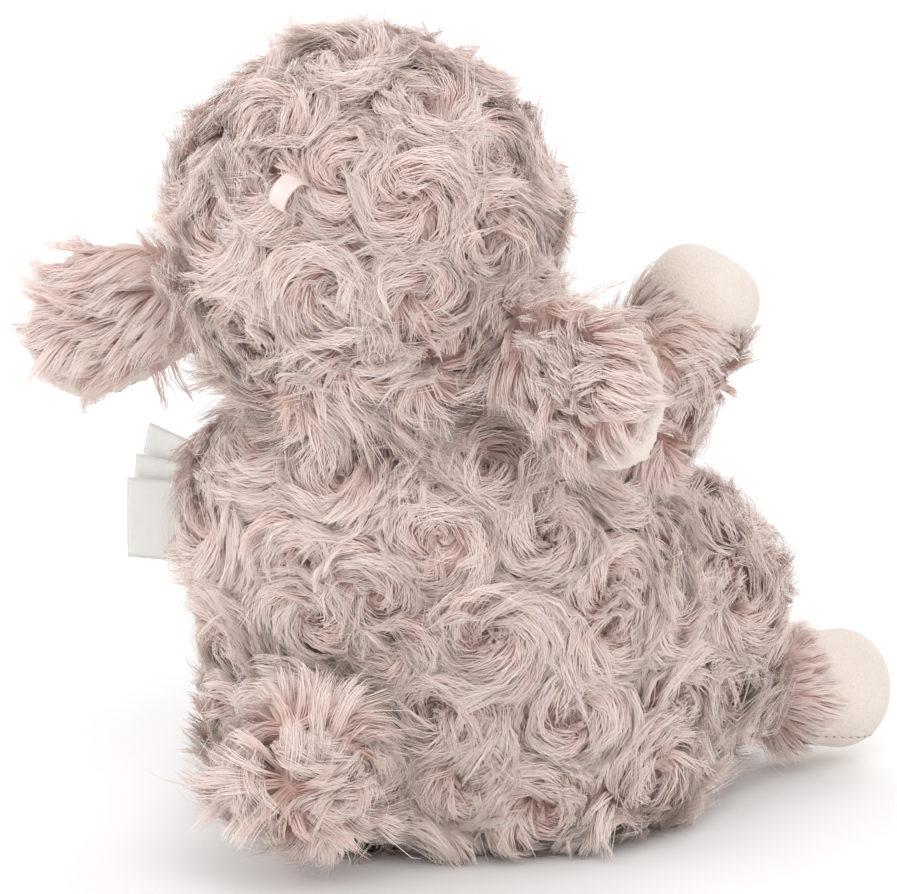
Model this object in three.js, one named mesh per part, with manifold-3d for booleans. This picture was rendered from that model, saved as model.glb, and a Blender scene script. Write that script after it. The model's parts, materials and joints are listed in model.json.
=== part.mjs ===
// Seated plush goat: stuffed body, head, limbs, ears and tail, each sewn to the next by a seam that flexes.
// Millimetres, +Z up, the toy faces -Y and its left is +X. The origin is on the floor, under the body.
import * as THREE from 'three';
import { mergeVertices } from 'three/addons/utils/BufferGeometryUtils.js';
import Module from 'manifold-3d';

const wasm = await Module();
wasm.setup();

// Fabric and fits
const furWall = 6;
const velourWall = 2.6;
const seamGap = 0.3;
const fillEase = 0.9;
const seatCut = 0.5;

// Body
const bodyHalfWidth = 62;
const bodyHalfDepth = 55;
const bodyHeight = 111;
const bodyTopFullness = 2.7;
const bodyBaseFullness = 4.5;
const bodyLean = 39;
const bodyBaseForward = 10;
const sideSeamBack = 6;
const pelletFill = 16;

// Head and neck
const headHalfWidth = 48;
const headHalfDepth = 47;
const headHalfHeight = 50;
const neckSink = 6;
const neckBack = 11;
const neckThread = 0.8;
const neckSeamAngle = 24;
const faceSeamForward = 25;
const faceStep = 2;

// Face
const muzzleHalfWidth = 19;
const muzzleHalfDepth = 17;
const muzzleHalfHeight = 14;
const muzzleForward = 39;
const muzzleDown = 13;
const noseHalfWidth = 6.5;
const noseHalfDepth = 3.4;
const noseHalfHeight = 4.2;
const noseUp = 24;
const mouthThread = 0.7;
const mouthSpread = 26;
const mouthDrop = 24;
const mouthCurve = 12;
const mouthStem = [0.2, 0.6, 1];
const eyeRadius = 4.6;
const eyeDome = 3.6;
const eyeSide = 24;
const eyeUp = 5;
const shankRadius = 1.7;
const shankLength = 7;
const shankClearance = 0.25;
const washerRadius = 5;
const washerThickness = 1.4;
const washerSeat = 1.6;

// Ears
const earLength = 38;
const earHalfWidth = 17;
const earRootHalfWidth = 12;
const earWidest = 21;
const earFur = 6;
const earLining = 2.6;
const earLiningRim = 3;
const earSag = 5;
const earUp = -22;
const earBehind = 8;
const earProud = 3;
const earSweep = 12;
const earDroop = 13;
const earTurn = 10;
const earTipCrowding = 1.6;

// Arms
const armRoot = 16;
const armWrist = 15.4;
const armSleeve = 37;
const armLength = 52;
const armHoof = 14;
const armHeight = 97;
const armAround = 36;
const armProud = 4;
const armOutward = 38;
const armRaise = 57;

// Haunches and legs
const haunch = 35;
const haunchSide = 36;
const haunchForward = 44;
const haunchUp = 42;
const haunchHalfHeight = 40;
const legRoot = 15.6;
const ankle = 15.2;
const legSleeve = 3;
const legLength = 25;
const legHoof = 14.8;
const legProud = 8;
const legAround = 31;
const legBelow = 30;
const legOutward = 30;
const legDip = 8;
const soleDepth = 10;

// Hooves of all four limbs
const hoofDome = 0.75;
const hoofRounding = 0.7;
const hoofMouth = 0.96;

// Tail
const tailRoot = 15;
const tailPuff = 21;
const tailPuffAt = 17;
const tailHeight = 27;
const tailProud = 7;
const tailOpening = 5;
const tailRootFrom = -52;
const tailRootTo = -20;
const tailRootInside = 10;
const tailPuffFrom = -25;
const tailFillFrom = -50;

// Hang loop and care labels
const loopWidth = 6;
const loopHeight = 10;
const loopHalfSpan = 4.4;
const ribbon = 0.6;
const loopUp = 24;
const loopAside = 5;
const loopTurn = 65;
const labelThickness = 0.5;
const labelLength = 18;
const labelHeight = 20;
const labelPitch = 1.1;
const labelFan = 5;
const labelUp = 73;
const labelSeat = 0.6;
const labelFrontDrop = 4;
const labelRearRise = 5;
const labelMiddleTilt = 4;
const labelRearTilt = 12;

// Rosettes of the pile: how far their middles and the furrows between them sink
const rosetteDimple = 4.2;
const rosetteDimpleReach = 5;
const rosetteFurrow = 4;
const rosetteFurrowReach = 4.5;
const rosetteRim = 12;
const rosetteFade = 4;
const rosetteFloor = 3;
const rosetteCalm = 8;
const labelCalm = 14;
const loopCalm = 9;
const earCalm = 15;
const neckCalm = 30;

// The photograph: the way that it looks from, its millimetres to a pixel, and the pixel of the origin
const photoRound = 28;
const photoUp = 15;
const photoScale = 0.24;
const photoOriginX = 445;
const photoOriginY = 820;

// Pixels of the rosettes that the photograph shows, and how near to its pixel and to the front one is set
const bodyRosettePixels = [
  [430, 543], [490, 627], [300, 563], [560, 528], [387, 653], [530, 807], [447, 707], [580, 715], [223, 640],
  [313, 620], [623, 580], [690, 560], [760, 613], [690, 685], [660, 765], [610, 640], [600, 830], [740, 720],
  [375, 590], [470, 770],
];
const headRosettePixels = [
  [328, 295], [427, 317], [213, 247], [347, 180], [270, 117], [433, 100], [507, 233], [500, 150], [347, 55],
  [187, 175], [420, 205], [290, 400], [377, 423], [183, 320], [497, 383], [265, 190],
];
const rosettePixelReach = 12;
const rosetteShownDepth = 12;

// The other rosettes fill the widest gaps, on places a step apart, clear of what sits in the body
const bodyRosetteGap = 21;
const headRosetteGap = 20;
const bodyRosetteTurn = 4;
const bodyRosetteRise = 3;
const bodyRosetteLowest = 6;
const bodyRosetteTopRoom = 6;
const haunchRosetteTurn = 6;
const haunchRosetteLowest = -54;
const haunchRosetteHighest = 78;
const headRosetteTurn = 4;
const headRosetteLowest = -56;
const headRosetteHighest = 88;
const headRosetteAhead = 20;
const rosetteNeckRoom = 3;
const rosetteLimbRoom = 2.4;
const rosetteHidden = 0.97;

// Facet counts
const coarse = 8;
const medium = 12;
const fine = 18;
const finest = 24;
const rosetteFacets = 44;
const haunchRosetteFacets = 30;
const ellipsoidRows = 0.6;
const bodyRows = 0.64;
const rootRows = 4;
const domeRows = 5;
const earRows = 9;
const tailRows = 7;
const smileRows = 2;

const degrees = Math.PI / 180;
const bodyCentreHeight = bodyHeight / 2 - seatCut;
const far = 4 * (bodyHeight + headHalfHeight);
const upAxis = new THREE.Vector3(0, 1, 0);

// Finishes
const finish = (color, roughness) => ({ color, roughness, metalness: 0 });
const rosetteFur = finish(0xcebfbc, 0.95);
const creamVelour = finish(0xf1e7df, 0.9);
const fibreFill = finish(0xf4f4f0, 1);
const pelletCloth = finish(0xdedad2, 0.9);
const satin = finish(0xf0d8d6, 0.4);
const wovenLabel = finish(0xe1e1de, 0.75);
const blackPlastic = finish(0x17120f, 0.15);
const clearPlastic = finish(0xe8e8e4, 0.4);
const noseThread = finish(0xb98a86, 0.7);
const seamThread = finish(0xb8a5a2, 0.8);

// Solids
function solid(geometry) {
  const bare = geometry.index ? geometry.toNonIndexed() : geometry.clone();
  for (const name of Object.keys(bare.attributes)) {
    if (name !== 'position') bare.deleteAttribute(name);
  }
  const merged = mergeVertices(bare, 1e-4);
  return new wasm.Manifold(new wasm.Mesh({
    numProp: 3,
    vertProperties: new Float32Array(merged.attributes.position.array),
    triVerts: new Uint32Array(merged.index.array),
  }));
}

function geometryOf(body) {
  const mesh = body.getMesh();
  const geometry = new THREE.BufferGeometry();
  geometry.setAttribute('position', new THREE.BufferAttribute(new Float32Array(mesh.vertProperties), 3));
  geometry.setIndex(new THREE.BufferAttribute(new Uint32Array(mesh.triVerts), 1));
  geometry.computeVertexNormals();
  return geometry;
}

function piece(name, geometry, look) {
  const mesh = new THREE.Mesh(geometry, new THREE.MeshStandardMaterial(look));
  mesh.name = name;
  return mesh;
}

function block(low, high) {
  const size = new THREE.Vector3().subVectors(high, low);
  const middle = new THREE.Vector3().addVectors(low, high).multiplyScalar(0.5);
  return solid(new THREE.BoxGeometry(size.x, size.y, size.z).translate(middle.x, middle.y, middle.z));
}

// A socket's facets touch the round shape that turns in it from outside.
function socket(radius, at, around) {
  const outside = radius / Math.cos(Math.PI / around) ** 2;
  const geometry = new THREE.SphereGeometry(outside, around, around / 2);
  return solid(geometry.rotateX(Math.PI / 2).translate(at.x, at.y, at.z));
}

function ellipsoidGeometry(rx, ry, rz, at, around) {
  const geometry = new THREE.SphereGeometry(1, around, Math.round(around * ellipsoidRows));
  geometry.rotateX(Math.PI / 2).scale(rx, ry, rz);
  return geometry.translate(at.x, at.y, at.z);
}

function ellipsoid(rx, ry, rz, at, around) {
  return solid(ellipsoidGeometry(rx, ry, rz, at, around));
}

// Sinks a surface at the rosettes' middles and along the furrows between them, and keeps it calm near seams.
function rosetteDepth(at, middles, calm) {
  const [first, second] = middles.map((middle) => middle.distanceTo(at)).sort((a, b) => a - b);
  const inReach = Math.exp(-((Math.max(first - rosetteRim, 0) / rosetteFade) ** 2));
  const dimple = rosetteDimple * Math.exp(-((first / rosetteDimpleReach) ** 2));
  const furrow = rosetteFurrow * Math.exp(-(((second - first) / rosetteFurrowReach) ** 2)) * inReach;
  let share = 1;
  for (const spot of calm) {
    share *= THREE.MathUtils.smoothstep(spot.at.distanceTo(at), spot.reach, spot.reach + rosetteCalm);
  }
  return (dimple + furrow) * share;
}

function withRosettes(geometry, middles, calm, coreOf) {
  const points = geometry.attributes.position;
  const at = new THREE.Vector3();
  for (let i = 0; i < points.count; i += 1) {
    at.fromBufferAttribute(points, i);
    const inward = coreOf(at).sub(at).normalize();
    at.addScaledVector(inward, rosetteDepth(at, middles, calm));
    points.setXYZ(i, at.x, at.y, at.z);
  }
  return geometry;
}

function turned(profile, around) {
  return new THREE.LatheGeometry(profile.map(([r, y]) => new THREE.Vector2(Math.max(r, 0), y)), around);
}

// The body swells from a flat seat and leans back towards the neck.
function bodyLeanAt(z) {
  return bodyLean * (z / bodyHeight) ** 2 - bodyBaseForward;
}

function bodySwellAt(z) {
  const share = Math.min(Math.abs(z - bodyCentreHeight) / (bodyHeight / 2), 1);
  const fullness = z > bodyCentreHeight ? bodyTopFullness : bodyBaseFullness;
  return (1 - share ** fullness) ** (1 / fullness);
}

function bodyGeometry(inset, around) {
  const geometry = new THREE.SphereGeometry(1, around, Math.round(around * bodyRows)).rotateX(Math.PI / 2);
  const points = geometry.attributes.position;
  const halfHeight = bodyHeight / 2 - inset;
  for (let i = 0; i < points.count; i += 1) {
    const flat = Math.hypot(points.getX(i), points.getY(i));
    const power = 2 / (points.getZ(i) > 0 ? bodyTopFullness : bodyBaseFullness);
    const ring = flat < 1e-6 ? 0 : flat ** power / flat;
    const z = bodyCentreHeight + halfHeight * Math.sign(points.getZ(i)) * Math.abs(points.getZ(i)) ** power;
    const x = points.getX(i) * ring * (bodyHalfWidth - inset);
    const y = points.getY(i) * ring * (bodyHalfDepth - inset) + bodyLeanAt(z);
    points.setXYZ(i, x, y, z);
  }
  return geometry;
}

// A place on the body at a height and an angle ahead of its side, standing proud of the surface.
function placeOnBody(side, height, ahead, proud) {
  const swell = bodySwellAt(height);
  const angle = ahead * degrees;
  const x = side * bodyHalfWidth * swell * Math.cos(angle);
  const y = bodyLeanAt(height) - bodyHalfDepth * swell * Math.sin(angle);
  const out = new THREE.Vector2(side * Math.cos(angle) / bodyHalfWidth, -Math.sin(angle) / bodyHalfDepth);
  out.normalize();
  return new THREE.Vector3(x + out.x * proud, y + out.y * proud, height);
}

const headCentre = new THREE.Vector3(
  0, bodyLeanAt(bodyHeight) + neckBack, bodyHeight - seatCut - neckSink + headHalfHeight);
const neckRadius = Math.max(headHalfWidth, headHalfDepth, headHalfHeight);

function limbWay(side, outward, raise) {
  const level = Math.cos(raise * degrees);
  const across = outward * degrees;
  return new THREE.Vector3(
    side * level * Math.sin(across), -level * Math.cos(across), Math.sin(raise * degrees));
}

const shoulders = new Map();
const haunches = new Map();
const hips = new Map();
for (const side of [-1, 1]) {
  shoulders.set(side, placeOnBody(side, armHeight, armAround, armProud));
  haunches.set(side, new THREE.Vector3(side * haunchSide, -haunchForward, haunchUp));
  const way = limbWay(side, legAround, -legBelow);
  const reach = 1 / Math.hypot(way.x / haunch, way.y / haunch, way.z / haunchHalfHeight);
  hips.set(side, way.multiplyScalar(reach + legProud).add(haunches.get(side)));
}
const tailHinge = placeOnBody(1, tailHeight, -90, tailProud);

function placeOnHaunch(side, outward, upwards) {
  const way = limbWay(side, outward, upwards);
  const reach = 1 / Math.hypot(way.x / haunch, way.y / haunch, way.z / haunchHalfHeight);
  return way.multiplyScalar(reach).add(haunches.get(side));
}

const labelsBehind = -Math.atan2(sideSeamBack, bodyHalfDepth) / degrees;
const labelsAt = placeOnBody(1, labelUp, labelsBehind, labelSeat);

// The body swells into a haunch on each side.
function bodyForm(inset, around) {
  let form = solid(bodyGeometry(inset, around));
  for (const side of [-1, 1]) {
    const facets = Math.min(around, fine);
    form = form.add(ellipsoid(
      haunch - inset, haunch - inset, haunchHalfHeight - inset, haunches.get(side), facets));
  }
  return form;
}

function insideBody(at) {
  const swell = bodySwellAt(at.z) * rosetteHidden;
  const across = at.x / (bodyHalfWidth * swell);
  const along = (at.y - bodyLeanAt(at.z)) / (bodyHalfDepth * swell);
  return swell > 0 && Math.hypot(across, along) < 1;
}

function insideHaunch(at, side) {
  const away = at.clone().sub(haunches.get(side));
  return Math.hypot(away.x / haunch, away.y / haunch, away.z / haunchHalfHeight) < rosetteHidden;
}

function bodyRosettePlaces() {
  const places = [];
  const highest = bodyHeight - bodyRosetteTopRoom;
  for (let turn = 0; turn < 360; turn += bodyRosetteTurn) {
    for (let rise = bodyRosetteLowest; rise <= highest; rise += bodyRosetteRise) {
      places.push(placeOnBody(1, rise, turn, 0));
    }
  }
  const outside = places.filter((at) => !insideHaunch(at, 1) && !insideHaunch(at, -1));
  for (const side of [-1, 1]) {
    for (let turn = -180; turn < 180; turn += haunchRosetteTurn) {
      for (let rise = haunchRosetteLowest; rise <= haunchRosetteHighest; rise += haunchRosetteTurn) {
        const at = placeOnHaunch(side, turn, rise);
        if (at.z > bodyRosetteLowest && !insideBody(at) && !insideHaunch(at, -side)) {
          outside.push(at);
        }
      }
    }
  }
  const seats = [[headCentre, neckRadius + rosetteNeckRoom], [tailHinge, tailRoot + rosetteLimbRoom]];
  for (const side of [-1, 1]) {
    seats.push([shoulders.get(side), armRoot + rosetteLimbRoom]);
    seats.push([hips.get(side), legRoot + rosetteLimbRoom]);
  }
  return outside.filter((at) => seats.every(([middle, reach]) => middle.distanceTo(at) > reach));
}

// Where a place shows in the photograph, in pixels, and how far it stands towards the camera.
function inPhoto(at) {
  const right = new THREE.Vector3(-1, 0, 0);
  const above = new THREE.Vector3(0, 0, 1);
  const front = new THREE.Vector3(0, 1, 0);
  const turn = new THREE.Euler(photoUp * degrees, 0, photoRound * degrees, 'ZYX');
  for (const axis of [right, above, front]) {
    axis.applyEuler(turn);
  }
  const x = photoOriginX + at.dot(right) / photoScale;
  const y = photoOriginY - at.dot(above) / photoScale;
  const pixel = new THREE.Vector2(x, y);
  return { at, pixel, near: at.dot(front) };
}

// Takes the place nearest to each rosette that shows, then fills the widest gap until none is too wide.
function rosetteMiddles(places, pixels, gap) {
  const spots = places.map(inPhoto);
  const middles = [];
  for (const [x, y] of pixels) {
    const mark = new THREE.Vector2(x, y);
    const close = spots.filter((spot) => spot.pixel.distanceTo(mark) < rosettePixelReach);
    const front = Math.max(...close.map((spot) => spot.near));
    const shown = close.filter((spot) => spot.near > front - rosetteShownDepth);
    shown.sort((a, b) => a.pixel.distanceTo(mark) - b.pixel.distanceTo(mark));
    middles.push(...shown.slice(0, 1).map((spot) => spot.at));
  }
  const emptiness = (at) => Math.min(...middles.map((middle) => middle.distanceTo(at)));
  const emptier = (best, at) => (emptiness(at) > emptiness(best) ? at : best);
  let next = places.reduce(emptier);
  while (emptiness(next) >= gap) {
    middles.push(next);
    next = places.reduce(emptier);
  }
  return middles;
}

function rosetteBodyForm() {
  const middles = rosetteMiddles(bodyRosettePlaces(), bodyRosettePixels, bodyRosetteGap);
  const calm = [{ at: labelsAt, reach: labelCalm }];
  const core = (at) => new THREE.Vector3(0, bodyLeanAt(at.z), (at.z + bodyCentreHeight) / 2);
  const settled = (geometry, coreOf) => {
    const level = (at) => (at.z > rosetteFloor ? coreOf(at) : at.clone());
    return solid(withRosettes(geometry, middles, calm, level));
  };
  let form = settled(bodyGeometry(0, rosetteFacets), core);
  for (const side of [-1, 1]) {
    const middle = haunches.get(side);
    const shape = ellipsoidGeometry(haunch, haunch, haunchHalfHeight, middle, haunchRosetteFacets);
    form = form.add(settled(shape, () => middle.clone()));
  }
  return form;
}

// The sockets that the head, limbs and tail sit in, and the flat seat.
function seated(form, inset, around) {
  let body = form.subtract(socket(neckRadius + seamGap + inset, headCentre, around));
  for (const side of [-1, 1]) {
    body = body.subtract(socket(armRoot + seamGap + inset, shoulders.get(side), medium));
    body = body.subtract(socket(legRoot + seamGap + inset, hips.get(side), medium));
  }
  body = body.subtract(socket(tailRoot + seamGap + inset, tailHinge, medium));
  const floor = block(new THREE.Vector3(-far, -far, inset), new THREE.Vector3(far, far, far));
  return body.intersect(floor);
}

function bodySolid(inset, around) {
  return seated(bodyForm(inset, around), inset, around);
}

// The side seam runs up both flanks and leans with the body.
function seamSide(front) {
  const geometry = new THREE.BoxGeometry(far, far, far);
  const shift = far / 2 + seamGap / 2;
  geometry.translate(0, front ? -shift : shift, 0);
  geometry.rotateX(-Math.atan2(bodyLean, bodyHeight));
  return solid(geometry.translate(0, bodyLeanAt(bodyCentreHeight) + sideSeamBack, bodyCentreHeight));
}

function neckRing(extra) {
  const reach = neckRadius + seamGap + neckThread;
  const across = reach * Math.sin(neckSeamAngle * degrees);
  const ring = new THREE.TorusGeometry(across, neckThread + extra, coarse, finest);
  const drop = reach * Math.cos(neckSeamAngle * degrees);
  return ring.translate(headCentre.x, headCentre.y, headCentre.z - drop);
}

function makeTorso() {
  const torso = new THREE.Group();
  const outside = seated(rosetteBodyForm(), 0, finest);
  const skin = outside.subtract(bodySolid(furWall, medium)).subtract(solid(neckRing(seamGap)));
  const filling = bodySolid(furWall + fillEase, medium);
  const level = furWall + pelletFill;
  const below = block(new THREE.Vector3(-far, -far, -far), new THREE.Vector3(far, far, level));
  const above = block(new THREE.Vector3(-far, -far, level + seamGap), new THREE.Vector3(far, far, far));
  torso.add(piece('body_back_panel', geometryOf(skin.intersect(seamSide(false))), rosetteFur));
  torso.add(piece('body_belly_panel', geometryOf(skin.intersect(seamSide(true))), rosetteFur));
  torso.add(piece('body_stuffing', geometryOf(filling.intersect(above)), fibreFill));
  torso.add(piece('pellet_bag', geometryOf(filling.intersect(below)), pelletCloth));
  torso.add(piece('neck_seam_thread', neckRing(0), seamThread));
  return torso;
}

// The head's own shapes are placed about its centre.
const headOrigin = new THREE.Vector3();

function headSolid(inset, around) {
  return ellipsoid(
    headHalfWidth - inset, headHalfDepth - inset, headHalfHeight - inset, headOrigin, around);
}

function placeOnHead(inset, sideways, upwards) {
  const across = sideways * degrees;
  const up = upwards * degrees;
  const way = new THREE.Vector3(
    Math.sin(across) * Math.cos(up), -Math.cos(across) * Math.cos(up), Math.sin(up));
  const reach = 1 / Math.hypot(
    way.x / (headHalfWidth - inset), way.y / (headHalfDepth - inset), way.z / (headHalfHeight - inset));
  return way.multiplyScalar(reach);
}

function headRosettePlaces() {
  const places = [];
  for (let turn = 0; turn < 360; turn += headRosetteTurn) {
    for (let rise = headRosetteLowest; rise <= headRosetteHighest; rise += headRosetteTurn) {
      places.push(placeOnHead(0, turn, rise));
    }
  }
  return places.filter((at) => at.y > -headRosetteAhead).map((at) => at.add(headCentre));
}

function rosetteHead() {
  const middles = rosetteMiddles(headRosettePlaces(), headRosettePixels, headRosetteGap)
    .map((at) => at.clone().sub(headCentre));
  const calm = [
    { at: new THREE.Vector3(0, 0, -headHalfHeight), reach: neckCalm },
    { at: placeOnHead(0, 180 + loopAside, loopUp), reach: loopCalm },
    { at: placeOnHead(0, 90 + earBehind, earUp), reach: earCalm },
    { at: placeOnHead(0, -90 - earBehind, earUp), reach: earCalm },
  ];
  const shape = ellipsoidGeometry(headHalfWidth, headHalfDepth, headHalfHeight, headOrigin, rosetteFacets);
  return solid(withRosettes(shape, middles, calm, () => headOrigin.clone()));
}

function headNormal(at) {
  return new THREE.Vector3(at.x / headHalfWidth ** 2, at.y / headHalfDepth ** 2, at.z / headHalfHeight ** 2)
    .normalize();
}

function stand(object, at, along) {
  object.position.copy(at);
  object.quaternion.setFromUnitVectors(upAxis, along);
  return object;
}

// An eye is a dome on a shank, and a washer grips the shank behind the face panel.
function eyeGeometry() {
  const rim = [];
  for (let i = 0; i <= domeRows; i += 1) {
    const angle = (i / domeRows) * 90 * degrees;
    rim.push([eyeRadius * Math.cos(angle), seamGap + eyeDome * Math.sin(angle)]);
  }
  return turned([[0, -shankLength], [shankRadius, -shankLength], [shankRadius, seamGap], ...rim], medium);
}

function washerGeometry() {
  const inner = shankRadius + shankClearance;
  const top = -velourWall - washerSeat;
  const foot = top - washerThickness;
  const rim = [[inner, foot], [washerRadius, foot], [washerRadius, top], [inner, top], [inner, foot]];
  return turned(rim, medium);
}

const muzzleCentre = new THREE.Vector3(0, -muzzleForward, -muzzleDown);

function muzzleSolid(extra, around) {
  return ellipsoid(
    muzzleHalfWidth + extra, muzzleHalfDepth + extra, muzzleHalfHeight + extra, muzzleCentre, around);
}

function placeOnMuzzle(extra, sideways, upwards) {
  const across = sideways * degrees;
  const up = upwards * degrees;
  return new THREE.Vector3(
    (muzzleHalfWidth + extra) * Math.sin(across) * Math.cos(up),
    -(muzzleHalfDepth + extra) * Math.cos(across) * Math.cos(up),
    (muzzleHalfHeight + extra) * Math.sin(up)).add(muzzleCentre);
}

function threadAlong(places, radius) {
  const round = new THREE.Shape().absarc(0, 0, radius, 0, 2 * Math.PI);
  const path = new THREE.CatmullRomCurve3(places);
  return solid(new THREE.ExtrudeGeometry(round, {
    steps: places.length + 1, curveSegments: 3, extrudePath: path, bevelEnabled: false }));
}

function mouthSolid() {
  const lift = seamGap + mouthThread;
  const smile = [];
  for (let i = -smileRows; i <= smileRows; i += 1) {
    const share = i / smileRows;
    smile.push(placeOnMuzzle(lift, mouthSpread * share, mouthCurve * share ** 2 - mouthDrop));
  }
  const stem = mouthStem.map((share) => placeOnMuzzle(lift, 0, -mouthDrop * share));
  return threadAlong(smile, mouthThread).add(threadAlong(stem, mouthThread));
}

// A strip of ribbon folded into an arch, standing on the head.
function loopGeometry() {
  const arch = new THREE.Shape();
  const inside = loopHalfSpan - ribbon;
  const straight = loopHeight - loopHalfSpan;
  arch.moveTo(loopHalfSpan, seamGap);
  arch.lineTo(loopHalfSpan, straight);
  arch.absarc(0, straight, loopHalfSpan, 0, Math.PI, false);
  arch.lineTo(-loopHalfSpan, seamGap);
  arch.lineTo(-inside, seamGap);
  arch.lineTo(-inside, straight);
  arch.absarc(0, straight, inside, Math.PI, 0, true);
  arch.lineTo(inside, seamGap);
  return new THREE.ExtrudeGeometry(arch, { depth: loopWidth, curveSegments: 8, bevelEnabled: false })
    .translate(0, 0, -loopWidth / 2);
}

// An ear is a leaf along +X with its hinge along Z: pile on its back, a cream lining in front.
const earHinge = Math.max(earFur, earLining + seamGap);

function earHalfWidthAt(along) {
  if (along < earWidest) {
    const swell = Math.sin((Math.max(along, 0) / earWidest) * Math.PI / 2);
    return earRootHalfWidth + (earHalfWidth - earRootHalfWidth) * swell;
  }
  return earHalfWidth * Math.sqrt(Math.max(1 - ((along - earWidest) / (earLength - earWidest)) ** 2, 0));
}

function earLayer(low, high, rim) {
  const edge = [];
  const grow = 1 + rim / earHalfWidth;
  for (let i = 0; i < earRows; i += 1) {
    const along = earLength * (1 - (1 - i / earRows) ** earTipCrowding);
    edge.push([along * grow, earHalfWidthAt(along) * grow]);
  }
  const sag = (along) => earSag * (Math.max(along, 0) / earLength) ** 2;
  const leaf = new THREE.Shape();
  leaf.moveTo(-earHinge, -earRootHalfWidth);
  for (const [along, half] of edge) leaf.lineTo(along, -half - sag(along));
  leaf.lineTo(earLength * grow, -sag(earLength));
  for (const [along, half] of [...edge].reverse()) leaf.lineTo(along, half - sag(along));
  leaf.lineTo(-earHinge, earRootHalfWidth);
  const slab = new THREE.ExtrudeGeometry(leaf, { depth: high - low, bevelEnabled: false });
  slab.translate(0, 0, low).rotateX(Math.PI / 2).scale(1, -1, 1);
  return slab;
}

// The root of an ear is round about its hinge, so that it turns in its groove.
function hingeRod(radius, halfLength) {
  return new THREE.CylinderGeometry(radius, radius, 2 * halfLength, medium).rotateX(Math.PI / 2);
}

function mirroredFaces(geometry) {
  const flat = geometry.index ? geometry.toNonIndexed() : geometry;
  const points = flat.attributes.position;
  for (let i = 0; i < points.count; i += 3) {
    const keep = [points.getX(i), points.getY(i), points.getZ(i)];
    points.setXYZ(i, points.getX(i + 1), points.getY(i + 1), points.getZ(i + 1));
    points.setXYZ(i + 1, ...keep);
  }
  return flat;
}

function earPiece(low, high, rim, side) {
  const beyond = block(new THREE.Vector3(0, -far, -far), new THREE.Vector3(far, far, far));
  const keep = beyond.add(solid(hingeRod(earHinge, 2 * earHalfWidth)));
  const layer = geometryOf(solid(mirroredFaces(earLayer(low, high, rim))).intersect(keep));
  return side > 0 ? layer : mirroredFaces(layer.scale(-1, 1, 1));
}

function earPlace(side) {
  const root = placeOnHead(0, side * (90 + earBehind), earUp);
  return root.addScaledVector(headNormal(root), earProud);
}

function placeEar(object, side) {
  object.position.copy(earPlace(side));
  object.rotation.set(earTurn * degrees, side * earDroop * degrees, side * earSweep * degrees, 'ZYX');
  object.updateMatrix();
  return object;
}

const sideNames = new Map([[-1, 'right'], [1, 'left']]);

function makeHead() {
  const head = new THREE.Group();
  head.position.copy(headCentre);
  const seam = -faceSeamForward;
  const behind = block(
    new THREE.Vector3(-far, seam + seamGap / 2, -far), new THREE.Vector3(far, far, far));
  const ahead = block(
    new THREE.Vector3(-far, -far, -far), new THREE.Vector3(far, seam - seamGap / 2, far));
  let cover = rosetteHead().subtract(headSolid(furWall, fine)).intersect(behind);
  for (const side of [-1, 1]) {
    const groove = placeEar(new THREE.Group(), side);
    const rod = hingeRod(earHinge + seamGap, earRootHalfWidth + 2 * earSag);
    cover = cover.subtract(solid(rod.applyMatrix4(groove.matrix)));
  }
  let stuffing = headSolid(furWall + fillEase, fine);
  let face = headSolid(faceStep, finest).subtract(headSolid(faceStep + velourWall, fine)).intersect(ahead);
  for (const side of [-1, 1]) {
    const name = sideNames.get(side);
    const seat = placeOnHead(faceStep, side * eyeSide, eyeUp);
    const along = headNormal(seat);
    const eye = stand(piece(`${name}_eye`, eyeGeometry(), blackPlastic), seat, along);
    const washer = stand(piece(`${name}_eye_washer`, washerGeometry(), clearPlastic), seat, along);
    const bore = new THREE.CylinderGeometry(
      shankRadius + shankClearance, shankRadius + shankClearance, 4 * shankLength, medium);
    eye.updateMatrix();
    const pocket = new THREE.CylinderGeometry(
      washerRadius + fillEase, washerRadius + fillEase, 2 * (shankLength + fillEase), medium);
    face = face.subtract(solid(bore.applyMatrix4(eye.matrix)));
    stuffing = stuffing.subtract(solid(pocket.applyMatrix4(eye.matrix)));
    head.add(eye, washer);
  }
  const muzzle = muzzleSolid(0, fine).subtract(headSolid(faceStep - seamGap, finest));
  const noseAt = placeOnMuzzle(0, 0, noseUp);
  const nose = ellipsoid(noseHalfWidth, noseHalfDepth, noseHalfHeight, noseAt, medium)
    .subtract(muzzleSolid(seamGap, fine));
  const loopAt = placeOnHead(0, 180 + loopAside, loopUp);
  const loop = loopGeometry().rotateY(loopTurn * degrees);
  head.add(piece('head_fur_cover', geometryOf(cover), rosetteFur));
  head.add(piece('face_panel', geometryOf(face), creamVelour));
  head.add(piece('head_stuffing', geometryOf(stuffing), fibreFill));
  head.add(piece('muzzle', geometryOf(muzzle), creamVelour));
  head.add(piece('nose', geometryOf(nose), noseThread));
  head.add(piece('mouth_stitch', geometryOf(mouthSolid()), noseThread));
  head.add(stand(piece('hang_loop', loop, satin), loopAt, headNormal(loopAt)));
  for (const side of [-1, 1]) head.add(makeEar(side));
  return head;
}

function makeEar(side) {
  const name = sideNames.get(side);
  const ear = placeEar(new THREE.Group(), side);
  const split = seamGap / 2;
  ear.add(piece(`ear_${name}_back`, earPiece(split, earFur, 0, side), rosetteFur));
  const lining = earPiece(-split - earLining, -split, earLiningRim, side);
  ear.add(piece(`ear_${name}_lining`, lining, creamVelour));
  return ear;
}

// A limb is turned about +Y from a ball root: a pile sleeve, a cream hoof and the stuffing inside both.
function rootArc(radius, from, to, steps) {
  const arc = [];
  for (let i = 0; i <= steps; i += 1) {
    const angle = (from + (to - from) * i / steps) * degrees;
    arc.push([radius * Math.cos(angle), radius * Math.sin(angle)]);
  }
  return arc;
}

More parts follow.
